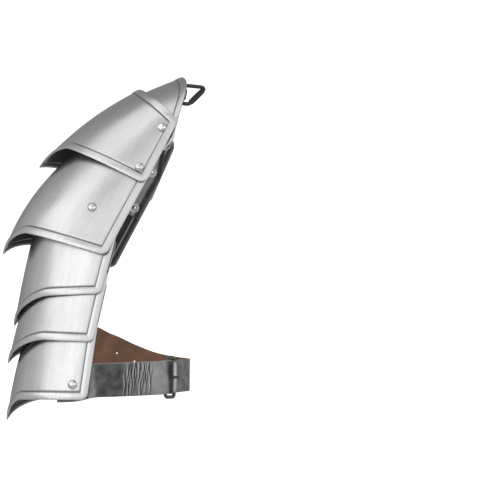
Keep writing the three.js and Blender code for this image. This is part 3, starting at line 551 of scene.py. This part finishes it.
def hide(name, grain, scale):
    """Vegetable tanned hide: a black dyed grain side with small pebbles that is paler where
    tone is high, a brown flesh side with short fibres that is darker where tone is high, and
    bare tan cut edges. Tone stands for wear, and on the arm strap also for painted highlights
    and painted shade."""
    material, shader = new_material(name)
    where = add_node(material, "TexCoord", {})
    flesh, tone, rim = (add_node(material, "Attribute", {}, attribute_name=key)
                        for key in ("flesh", "tone", "rim"))
    pebbles = add_node(material, "TexVoronoi", {"Vector": where.outputs["UV"], "Scale": scale})
    blotch = add_node(material, "TexNoise", {"Vector": where.outputs["UV"], "Scale": 9.0, "Detail": 6.0})
    fibres = add_node(material, "TexNoise", {"Vector": where.outputs["UV"], "Scale": 130.0, "Detail": 5.0})
    uneven = add_node(material, "MapRange", {"Value": fibres.outputs["Fac"], "To Min": 0.5, "To Max": 1.4})
    patch = add_node(material, "MapRange", {"Value": blotch.outputs["Fac"], "From Min": 0.35,
                                            "From Max": 0.65, "To Min": -0.1, "To Max": 0.12})
    paling = add_node(material, "Math", {0: tone.outputs["Fac"], 1: uneven.outputs["Result"],
                                       2: patch.outputs["Result"]}, operation="MULTIPLY_ADD", use_clamp=True)
    black = mixed(material, paling.outputs[0], grain, (0.46, 0.465, 0.465))
    brown = mixed(material, blotch.outputs["Fac"], (0.19, 0.145, 0.11), (0.54, 0.26, 0.15))
    # Darker flesh where tone is high; on the arm strap's back piece past the buckle this is painted shade.
    darkened = mixed(material, tone.outputs["Fac"], brown, (0.03, 0.018, 0.012))
    sides = mixed(material, flesh.outputs["Fac"], black, darkened)
    bare = add_node(material, "Math", {0: rim.outputs["Fac"], 1: 0.55}, operation="MULTIPLY")
    edged = mixed(material, bare.outputs[0], sides, (0.40, 0.32, 0.26))
    rough = add_node(material, "MapRange", {"Value": blotch.outputs["Fac"], "To Min": 0.38, "To Max": 0.58})
    dull = add_node(material, "Math", {0: flesh.outputs["Fac"], 1: 0.3, 2: rough.outputs["Result"]},
                    operation="MULTIPLY_ADD")
    feed(material, shader, {"Base Color": edged, "Roughness": dull.outputs[0], "Specular IOR Level": 0.35})
    bumped(material, shader, [(fibres.outputs["Fac"], 0.35, 0.0004),
                              (pebbles.outputs["Distance"], 0.3, 0.0003)])
    return material


def add_leather(name, shell, material, tone, flesh):
    """Builds a strap. tone is how much paler its grain is and how much darker its flesh, from
    wear and on the arm strap also from painted highlights and painted shade; flesh is 1 on the
    face that shows the flesh side, first for the outer and then for the inner face."""
    count = shell["along"].size
    piece = build(name + "_fine", shell["points"].reshape(-1, 3), [shell_faces(shell["keep"])], material,
                  uv=np.concatenate([shell["uv"].reshape(-1, 2)] * 2),
                  values={"tone": np.tile(np.ravel(tone), 2), "flesh": np.repeat(flesh, count),
                          "rim": np.tile(shell["rim"].ravel(), 2)})
    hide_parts(name)
    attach(piece, "armour")


FADE_END, FADE = 4.6, 2.0                       # the strips are black from here on to their outer edge
strip_hide = hide("strip_hide", (0.040, 0.039, 0.041), 90.0)
for side, end in ((1, "front"), (-1, "back")):
    edge_stations = [under_plate(plate, place, side, STRIP, hollow(plate, EDGE_WIDTH))
                     for plate, *place in EDGE_PLACES[side] + EDGE_END]
    shell = band_shell(smooth_path(edge_stations), EDGE_WIDTH, STRIP)
    outward = -side * shell["uv"][..., 0] * 100
    paling = 1.1 * np.clip((FADE_END - outward) / FADE, 0, 1)
    add_leather("edge_strap_" + end, shell, strip_hide, paling, (1.0, 0.0))
    shift = BACK_SHIFT if side < 0 else 0.0
    flank_stations = [under_plate(plate, (x - shift, z), side, STRIP, hollow(plate, FLANK_WIDTH))
                      for plate, x, z in FLANK_PLACES]
    shell = band_shell(smooth_path(flank_stations), FLANK_WIDTH, STRIP)
    add_leather("flank_strap_" + end, shell, strip_hide, 0.25 + 0 * shell["along"], (1.0, 0.0))

# ---------------------------------------------------------------- arm strap
# The strap that holds the lowest lame to the arm: 36 mm wide black bridle leather, 2.4 mm thick.
# One piece is riveted inside the front and folded round the buckle's bar; the other is riveted
# inside the back, runs round the arm and through the buckle, and its end is tucked under.
STRAP, STRAP_WIDTH, STRAP_REACH = 2.4, 36.0, 106.0
LAYER = STRAP + CLEARANCE
BUCKLE_WIRE, BUCKLE_WIDTH, BUCKLE_HEIGHT, TONGUE = 2.0, 21.0, 47.0, 1.4
FAR_BAR = 3.1                                   # radius of the buckle's thicker outer bar
LOWEST = "arm_lame_3"
HEEL_PLACE = (0.774, -0.487, 0.127)              # out from the lame's edge, depth, level
FRONT_RUN = [(0.09, -0.762, 0.117), (0.30, -0.735, 0.119), (0.55, -0.675, 0.122), (0.74, -0.605, 0.125)]
BACK_RUN = [(0.925, -0.10, 0.132), (0.995, 0.04, 0.134), (1.010, 0.17, 0.1355), (0.960, 0.31, 0.138),
            (0.850, 0.43, 0.1425), (0.620, 0.575, 0.156), (0.380, 0.675, 0.181), (0.180, 0.735, 0.207)]
BACK_ANCHOR = [(0.540, 0.220), (0.500, 0.231), (0.455, 0.241), (0.402, 0.249), (0.357, 0.256)]
FRONT_ANCHOR = [(0.345, 0.1035), (0.431, 0.1055), (0.462, 0.108)]
STRAP_TIP = (0.497, 0.1135)
BUCKLE_HEADING, HEEL_HEADING = math.radians(64), math.radians(35)
HOLE_RADIUS, HOLE_PITCH, HOLE_COUNT = 1.1, 23.0, 7


def loop_place(place):
    """A place on the loop from its shares of STRAP_REACH, half of DEPTH and HEIGHT."""
    out, depth, level = place
    edge = PLATES[LOWEST]["edge"][1][0] * REACH
    return np.array([edge + out * STRAP_REACH, depth * DEPTH / 2, level * HEIGHT])


def heading(angle):
    """The level direction at an angle from x."""
    return np.array([math.cos(angle), math.sin(angle), 0.0])


def with_normals(points):
    """Stations of a path, each with its level normal on the right of the way it runs."""
    points = np.array(points)
    way = np.concatenate([points[1:2] - points[:1], points[2:] - points[:-2], points[-1:] - points[-2:-1]])
    return list(zip(points, unit(np.stack([way[:, 1], -way[:, 0], 0 * way[:, 0]], -1))))


heel_bar = loop_place(HEEL_PLACE)
far_bar = heel_bar + BUCKLE_WIDTH * heading(BUCKLE_HEADING)
buckle_out = heading(BUCKLE_HEADING - math.pi / 2)
tongue_offset = BUCKLE_WIRE + CLEARANCE + TONGUE
tongue_start = heel_bar + tongue_offset * buckle_out
tongue_end = far_bar + (FAR_BAR + CLEARANCE + TONGUE) * buckle_out + TONGUE * heading(BUCKLE_HEADING)

heel_radius = tongue_offset + TONGUE + 2 * CLEARANCE + STRAP / 2
round_heel = [heel_bar + heel_radius * heading(HEEL_HEADING - math.pi / 2 + math.radians(turn))
              for turn in (0, 35, 70)]
under_far_bar = far_bar - (FAR_BAR + 3 * CLEARANCE + STRAP / 2) * buckle_out
front_points = [loop_place(place) for place in FRONT_RUN]
loop = with_normals(front_points + round_heel + [under_far_bar] + [loop_place(place) for place in BACK_RUN])
anchor_depth = hollow(LOWEST, FLANK_WIDTH) + STRIP + 2 * CLEARANCE
outer_path = smooth_path([under_plate(LOWEST, STRAP_TIP, 1, STRAP), *loop,
                          *(under_plate(LOWEST, place, -1, STRAP, anchor_depth) for place in BACK_ANCHOR)])

fold_radius = BUCKLE_WIRE + CLEARANCE + STRAP / 2
run_in = [(centre - (LAYER + CLEARANCE) * normal, normal)
          for centre, normal in with_normals(front_points + [heel_bar])[:-1]]
fold = [(heel_bar + fold_radius * heading(HEEL_HEADING + math.radians(turn)),
         heading(HEEL_HEADING + math.radians(turn))) for turn in (-90, -45, 0, 45, 90)]
tucked = [(centre - LAYER * normal, -normal) for centre, normal in run_in[:-3:-1]]
inner_path = smooth_path([*(under_plate(LOWEST, place, 1, STRAP, CLEARANCE) for place in FRONT_ANCHOR),
                          under_plate(LOWEST, STRAP_TIP, 1, STRAP, LAYER + 3 * CLEARANCE),
                          *run_in, *fold, *tucked])

CREASES, FIRST_CREASE, LAST_CREASE = 17, 41, 68
CREASE_WIDTH, CREASE_REACH = 0.55, 13
FLARE_DROP, FLARE_REACH, FLARE_SHIFT = 5, 16, 20
chance = np.random.default_rng(11)
crease_starts = np.linspace(FIRST_CREASE, LAST_CREASE, CREASES) + chance.uniform(-0.7, 0.7, CREASES)
crease_slants = chance.uniform(-0.02, 0.16, CREASES)
crease_heights = chance.uniform(0.2, 0.5, CREASES)
crease_middles = chance.uniform(-14, 14, CREASES)


def strap_creases(along, across):
    """Creases across the strap by the buckle: narrow ridges, each on its own slanted, wavy line
    and fading to both sides as exp(-(distance / width)^2) exp(-((across - middle) / reach)^2)."""
    lift = 0 * along
    for start, slant, height, middle in zip(crease_starts, crease_slants, crease_heights, crease_middles):
        line = start - slant * across + 0.5 * np.sin(across / 3.3 + 2 * start)
        ridge = np.exp(-((along - line) / CREASE_WIDTH) ** 2)
        lift = lift + height * ridge * np.exp(-((across - middle) / CREASE_REACH) ** 2)
    return lift


line, _, run = outer_path
middle = tongue_start + 0.28 * (tongue_end - tongue_start)
crossing = run[np.argmax(np.linalg.norm(line - middle, axis=1) < STRAP)]
slot = run[np.argmin(np.linalg.norm(line - middle, axis=1))]
holes = [(slot, 5.0, TONGUE + CLEARANCE)]
holes += [(crossing + i * HOLE_PITCH, HOLE_RADIUS, HOLE_RADIUS) for i in range(1, HOLE_COUNT + 1)]
strap_hide = hide("strap_hide", (0.020, 0.0195, 0.023), 75.0)
shell = band_shell(outer_path, STRAP_WIDTH, STRAP, 0.8, strap_creases, holes)
# How much paler the strap's grain and darker its flesh are at distances in mm from its front
# end: partly wear and partly painted light. The 0 from 90 to 99 mm is a painted shadow by the
# buckle, and the 0.4 from 104 to 185 mm is painted shade on the flesh.
STRAP_WEAR_AND_LIGHT = [(0, 0.55), (7, 0.6), (11, 0.18), (36, 0.10), (43, 0.26), (66, 0.45), (72, 0.72), (86, 0.62),
          (90, 0.0), (99, 0.0), (104, 0.42), (140, 0.42), (185, 0.4), (215, 0.06)]
wear_and_light = np.interp(shell["along"], *zip(*STRAP_WEAR_AND_LIGHT))
spread = shell["uv"][..., 0] * 100
# Each crease is painted lighter on its side towards the strap's front end and darker just past its ridge:
# painted highlight and painted shade.
wear_and_light = wear_and_light + 3.4 * (strap_creases(shell["along"], spread) - strap_creases(shell["along"] - 0.9, spread))
flare = run[np.argmin(np.linalg.norm(line - loop_place(BACK_RUN[-1]), axis=1))]
flare = flare + FLARE_SHIFT
low_side = np.clip(spread * 2 / STRAP_WIDTH, 0, 1)
shell["points"][..., 2] -= FLARE_DROP * low_side * np.exp(-((shell["along"] - flare) / FLARE_REACH) ** 2)
# The cut edge is paler along the strap's upper side for its first 110 mm and dimmer elsewhere: the bare tan
# edge, brightened there as a painted highlight.
shell["rim"] = shell["rim"] * np.where((spread < 0) & (shell["along"] < 110), 1.8, 0.15)
add_leather("arm_strap_back", shell, strap_hide, wear_and_light, (0.0, 1.0))
shell = band_shell(inner_path, STRAP_WIDTH, STRAP, 1.0)
add_leather("arm_strap_front", shell, strap_hide, 0.3 + 0 * shell["along"], (0.0, 1.0))

# ---------------------------------------------------------------- buckle
# A plain rectangular roller-less buckle: a frame forged from 4 mm round iron bar, its corners
# turned on a mandrel, and a tongue of thinner wire whose eye is closed round the frame's bar.


CORNER_POINTS, SIDE_POINTS, BAR_SIDES, DOME_STEPS = 13, 15, 24, 7


def rounded_loop(corners, radius):
    """A closed loop through corners with each rounded by an arc of this radius: the arc's middle
    stands radius / sin(half the corner) from the corner on its bisector."""
    points = []
    for i, corner in enumerate(corners):
        before, after = (unit(corners[(i + k) % len(corners)] - corner) for k in (-1, 1))
        half = math.acos(np.clip(before @ after, -1, 1)) / 2
        centre = corner + unit(before + after) * radius / math.sin(half)
        first, last = (corner + way * radius / math.tan(half) - centre for way in (before, after))
        share = np.linspace(0, 1, CORNER_POINTS)[:, None]
        swing = math.pi - 2 * half
        arc_points = np.sin((1 - share) * swing) * first + np.sin(share * swing) * last
        points.append(centre + arc_points / math.sin(swing))
    return np.concatenate(points)


def thicker_bar(points, corner, radius, thicker):
    """The loop with more points on the side before its corner of this number, and the radii
    along it: that side is thicker, and swells over its end steps."""
    start = CORNER_POINTS * corner
    share = np.linspace(0, 1, SIDE_POINTS + 2)[1:-1, None]
    side = points[start - 1] * (1 - share) + points[start % len(points)] * share
    radii = np.full(len(points) + SIDE_POINTS, float(radius))
    swell = np.sin(np.linspace(0.12, 0.88, SIDE_POINTS) * math.pi) ** 0.3
    radii[start:start + SIDE_POINTS] += (thicker - radius) * swell
    return np.concatenate([points[:start], side, points[start:]]), radii


def ring_faces(here, following):
    """Four-sided faces between rings of point numbers and the rings that follow them."""
    corners = [here, np.roll(here, -1, axis=1), np.roll(following, -1, axis=1), following]
    return np.stack(corners, -1).reshape(-1, 4)


def bar(points, radii, plane, closed):
    """A round bar along points that lie in a plane with this normal: centre + radius (cos turn
    sideways + sin turn plane). Open ends are domed and close on one point."""
    points, radii = np.asarray(points, float), np.broadcast_to(radii, len(points))
    if closed:
        way = np.roll(points, -1, axis=0) - np.roll(points, 1, axis=0)
    else:
        dome = np.linspace(0, math.pi / 2, DOME_STEPS)[1:]
        ends = [unit(points[0] - points[1]), unit(points[-1] - points[-2])]
        caps = [points[k] + np.sin(dome)[:, None] * radii[k] * end for k, end in zip((0, -1), ends)]
        way = np.concatenate([np.repeat([-ends[0]], DOME_STEPS, axis=0), np.gradient(points, axis=0)[1:-1],
                              np.repeat([ends[1]], DOME_STEPS, axis=0)])
        points = np.concatenate([caps[0][::-1], points, caps[1]])
        radii = np.concatenate([np.cos(dome)[::-1] * radii[0], radii, np.cos(dome) * radii[-1]])
    sideways = unit(np.cross(way, plane))
    turn = np.linspace(0, 2 * math.pi, BAR_SIDES, endpoint=False)
    around = np.cos(turn)[None, :, None] * sideways[:, None] + np.sin(turn)[None, :, None] * np.asarray(plane)
    grid = points[:, None] + np.asarray(radii)[:, None, None] * around
    rows = len(points)
    if closed:
        index = np.arange(rows * BAR_SIDES).reshape(rows, BAR_SIDES)
        return grid.reshape(-1, 3), [ring_faces(index, np.roll(index, -1, axis=0))]
    index = 1 + np.arange((rows - 2) * BAR_SIDES).reshape(rows - 2, BAR_SIDES)
    last = 1 + (rows - 2) * BAR_SIDES
    start = np.stack([np.zeros(BAR_SIDES, int), np.roll(index[0], -1), index[0]], -1)
    end = np.stack([np.full(BAR_SIDES, last), index[-1], np.roll(index[-1], -1)], -1)
    body = np.concatenate([points[:1], grid[1:-1].reshape(-1, 3), points[-1:]])
    return body, [ring_faces(index[:-1], index[1:]), start, end]


def iron(name, tone, shine, metal=1.0):
    """Forged iron, black from the fire and grey where handling wears it: forging scale lies
    in soft pits, and its roughness follows them. It is painted darker where its shade mask is 1:
    painted shade at a rivet head's foot and on the buckle frame's thinner parts."""
    material, shader = new_material(name)
    where = add_node(material, "TexCoord", {})
    scale = add_node(material, "TexNoise", {"Vector": where.outputs["Object"], "Scale": 420.0, "Detail": 5.0})
    blotch = add_node(material, "TexNoise", {"Vector": where.outputs["Object"], "Scale": 120.0,
                                             "Detail": 3.0})
    tone = np.array(tone)
    colour = mixed(material, blotch.outputs["Fac"], 0.45 * tone, 1.5 * tone)
    painted_shade = add_node(material, "Attribute", {}, attribute_name="painted_shade")
    shaded_colour = mixed(material, painted_shade.outputs["Fac"], colour, (0.02, 0.02, 0.02))
    rough = add_node(material, "MapRange", {"Value": scale.outputs["Fac"], "To Min": shine - 0.1,
                                            "To Max": shine + 0.12})
    feed(material, shader, {"Base Color": shaded_colour, "Metallic": metal, "Roughness": rough.outputs["Result"]})
    bumped(material, shader, [(scale.outputs["Fac"], 0.25, 0.0003), (blotch.outputs["Fac"], 0.25, 0.0008)])
    return material


UP = np.array([0.0, 0.0, 1.0])
buckle_iron = iron("buckle_iron", (0.66, 0.65, 0.64), 0.3, 0.5)
tongue_iron = iron("tongue_iron", (0.12, 0.12, 0.12), 0.35)
half = BUCKLE_HEIGHT / 2 - BUCKLE_WIRE
corners = np.array([heel_bar - half * UP, far_bar - half * UP, far_bar + half * UP, heel_bar + half * UP])
points, radii = thicker_bar(rounded_loop(corners, 2 * BUCKLE_WIRE), 2, BUCKLE_WIRE, FAR_BAR)
points, faces = bar(points, radii, buckle_out, True)
# The frame is painted much darker away from the middle of its thick outer bar: painted shade on its thinner
# sides and ends.
frame_shade = 0.8 * np.repeat((FAR_BAR - radii) / (FAR_BAR - BUCKLE_WIRE), BAR_SIDES)
piece = build("buckle_frame_fine", points, faces, buckle_iron, values={"painted_shade": frame_shade})
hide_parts("buckle_frame")
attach(piece, "armour")

eye = [heel_bar + tongue_offset * heading(BUCKLE_HEADING - math.pi / 2 - math.radians(turn))
       for turn in range(240, 0, -12)]
shaft = [tongue_start + share * (tongue_end - tongue_start) for share in np.linspace(0, 1, 12)]
points, faces = bar(eye + shaft, TONGUE, UP, False)
piece = build("buckle_tongue_fine", points, faces, tongue_iron)
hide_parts("buckle_tongue")
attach(piece, "armour")

# ---------------------------------------------------------------- neck tab and ring
# A ring bent from 4.4 mm iron wire with a thicker outer bar, by which the armour is tied to the
# collar. It hangs in the fold of a 14 mm leather tab that is riveted inside the neck plate.
TAB_WIDTH, RING_WIRE, RING_BAR, RING_REACH, RING_HEIGHT, RING_SHORT = 14.0, 2.2, 3.3, 24.0, 35.0, 9.0
TAB_PLACES = [(0.725, 0.904), (0.752, 0.910), (0.795, 0.920), (0.850, 0.932), (0.895, 0.938), (0.935, 0.941)]
RING_DROOP = math.radians(20)


def turned_about(vector, axis, angle):
    """A vector at right angles to an axis, turned about it."""
    return math.cos(angle) * vector + math.sin(angle) * np.cross(axis, vector)


tab_depth = hollow("neck_plate", TAB_WIDTH)
tab_run = [under_plate("neck_plate", place, 1, STRIP, tab_depth) for place in TAB_PLACES]
tab_end, tab_normal = tab_run[-1]
tab_way = unit(tab_end - tab_run[-2][0])
tab_way = unit(tab_way - tab_normal * (tab_way @ tab_normal))
tab_fold = RING_WIRE + 2 * CLEARANCE + STRIP / 2
ring_bar = tab_end + 2 * tab_fold * tab_way - tab_fold * tab_normal
ring_axis = unit(np.cross(tab_way, tab_normal))
fold = [turned_about(tab_normal, ring_axis, -math.radians(turn)) for turn in (0, 45, 90, 135, 180)]
back = [(tab_end - (STRIP + CLEARANCE) * tab_normal + (1 - steps) * tab_fold * tab_way, -tab_normal)
        for steps in (1.2, 5)]
tab_path = smooth_path([*tab_run, *((ring_bar + tab_fold * normal, normal) for normal in fold), *back])
shell = band_shell(tab_path, TAB_WIDTH, STRIP, 1.0)
add_leather("neck_tab", shell, strip_hide, 0.3 + 0 * shell["along"], (0.0, 1.0))

ring_out = turned_about(tab_way, ring_axis, -RING_DROOP)
ring_plane = unit(np.cross(ring_out, ring_axis))
half = RING_HEIGHT / 2
corners = np.array([ring_bar + sideways * ring_axis + outwards * ring_out for sideways, outwards in (
    (-half, 0), (half, 0), (half, RING_SHORT), (-half, RING_REACH))])
points, radii = thicker_bar(rounded_loop(corners, 1.2 * RING_BAR), 3, RING_WIRE, RING_BAR)
ring_iron = iron("ring_iron", (0.085, 0.085, 0.09), 0.4)
points, faces = bar(points, radii, ring_plane, True)
piece = build("neck_ring_fine", points, faces, ring_iron)
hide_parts("neck_ring")
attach(piece, "ring")

# ---------------------------------------------------------------- rivets
# Domed steel rivets, 9 mm across, go through a plate and the leather below it; each tail is
# hammered over a round washer on the inside. Low heads are used where two plates slide.
HEAD, HEAD_HEIGHT, LOW_HEIGHT, SHANK = 5.0, 2.8, 1.6, 1.6
WASHER, WASHER_THICKNESS, TAIL, TAIL_HEIGHT = 5.8, 1.0, 2.5, 0.9
RIVETS = [
    ("upper_arm_rivet_front", "upper_arm_plate", 0.521, 0.595, 1, False),
    ("upper_arm_rivet_back", "upper_arm_plate", 0.521 - BACK_SHIFT, 0.595, -1, False),
    ("lame_1_rivet_front", "arm_lame_1", 0.487, 0.508, 1, True),
    ("lame_1_rivet_back", "arm_lame_1", 0.487 - BACK_SHIFT, 0.508, -1, True),
    ("lame_2_rivet_front", "arm_lame_2", 0.463, 0.381, 1, True),
    ("lame_2_rivet_back", "arm_lame_2", 0.463 - BACK_SHIFT, 0.381, -1, True),
    ("cap_rivet_upper_front", "shoulder_cap", 0.877, 0.818, 1, False),
    ("cap_rivet_lower_front", "shoulder_cap", 0.763, 0.705, 1, False),
    ("neck_rivet_back", "neck_plate", 0.832, 0.864, -1, True),
    ("cap_rivet_back", "shoulder_cap", 0.799, 0.755, -1, False),
    ("upper_arm_edge_rivet_back", "upper_arm_plate", 0.705, 0.644, -1, False),
    ("lame_3_rivet_front", "arm_lame_3", 0.447, 0.253, 1, True),
    ("arm_strap_rivet_back", "arm_lame_3", 0.402, 0.253, -1, True),
    ("arm_strap_rivet_front", "arm_lame_3", 0.431, 0.1055, 1, False),
    ("neck_tab_rivet_front", "neck_plate", 0.752, 0.910, 1, True),
]


TURNED_SIDES = 40


def revolve(profile, place, axis):
    """A closed body turned round an axis from (radius, height) pairs. A radius of 0 at the first
    and last pair closes it on one point; otherwise the profile is a loop."""
    profile = np.asarray(profile, float)
    aside = unit(np.cross(axis, [0.3, 0.2, 0.9]))
    turn = np.linspace(0, 2 * math.pi, TURNED_SIDES, endpoint=False)[None, :, None]
    around = np.cos(turn) * aside + np.sin(turn) * np.cross(axis, aside)
    poles = profile[0, 0] == 0
    rings = profile[1:-1] if poles else profile
    grid = place + rings[:, None, :1] * around + rings[:, None, 1:] * axis
    index = np.arange(len(rings) * TURNED_SIDES).reshape(-1, TURNED_SIDES)
    following = index[1:] if poles else np.roll(index, -1, axis=0)
    faces = [ring_faces(index[:-1] if poles else index, following)]
    points = grid.reshape(-1, 3)
    if poles:
        ends = place + profile[[0, -1], 1:] * axis
        first, last = (np.full(TURNED_SIDES, len(points) + k) for k in (0, 1))
        faces.append(np.stack([first, np.roll(index[0], -1), index[0]], -1))
        faces.append(np.stack([last, index[-1], np.roll(index[-1], -1)], -1))
        points = np.concatenate([points, ends])
    return points, faces


def arc(radius, height, steps):
    """(radius, height) pairs up a quarter ellipse from its foot to its top."""
    turn = np.linspace(0, math.pi / 2, steps)
    return np.stack([radius * np.cos(turn), height * np.sin(turn)], -1)


rivet_material = iron("rivet_polish", (0.78, 0.78, 0.79), 0.2)
washer_material = iron("washer_polish", (0.95, 0.95, 0.94), 0.35, 0.15)
for name, plate, x, z, side, low in RIVETS:
    point, normal = place_on_plate(plate, (x, z), side)
    stem, end = name.rsplit("_", 1)
    washer_name = stem + "_washer_" + end
    low_corner, high_corner = (np.array(corner) * 1000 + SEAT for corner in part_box(washer_name))
    top = ((low_corner + high_corner) / 2 - point) @ normal + WASHER_THICKNESS / 2
    head = arc(HEAD, LOW_HEIGHT if low else HEAD_HEIGHT, 12)
    bottom = top - WASHER_THICKNESS - CLEARANCE
    tail = arc(TAIL, -TAIL_HEIGHT, 7)[::-1]
    profile = np.concatenate([tail + [0, bottom], [[SHANK, bottom + 0.05], [SHANK, 0.05], [HEAD - 0.3, 0.05]],
                              head + [0, 0.25]])
    profile[[0, -1], 0] = 0
    points, faces = revolve(profile, point, normal)
    # A dark ring at the foot of the head, where it meets the plate: painted contact shade.
    painted_shade = np.exp(-(np.abs(profile[1:-1, 1]) / 0.45) ** 2)
    piece = build(name + "_fine", points, faces, rivet_material,
                  values={"painted_shade": np.concatenate([np.repeat(painted_shade, TURNED_SIDES), [0, 0]])})
    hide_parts(name)
    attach(piece, "armour")
    hole, soft, bend = SHANK + CLEARANCE, 0.2, 0.06
    base = top - WASHER_THICKNESS
    loop = [(hole, top), (hole, base), (WASHER - soft, base), (WASHER - bend, base + bend),
            (WASHER, base + soft), (WASHER, top - soft), (WASHER - bend, top - bend), (WASHER - soft, top)]
    points, faces = revolve(loop, point, normal)
    piece = build(washer_name + "_fine", points, faces, washer_material)
    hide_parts(washer_name)
    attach(piece, "armour")
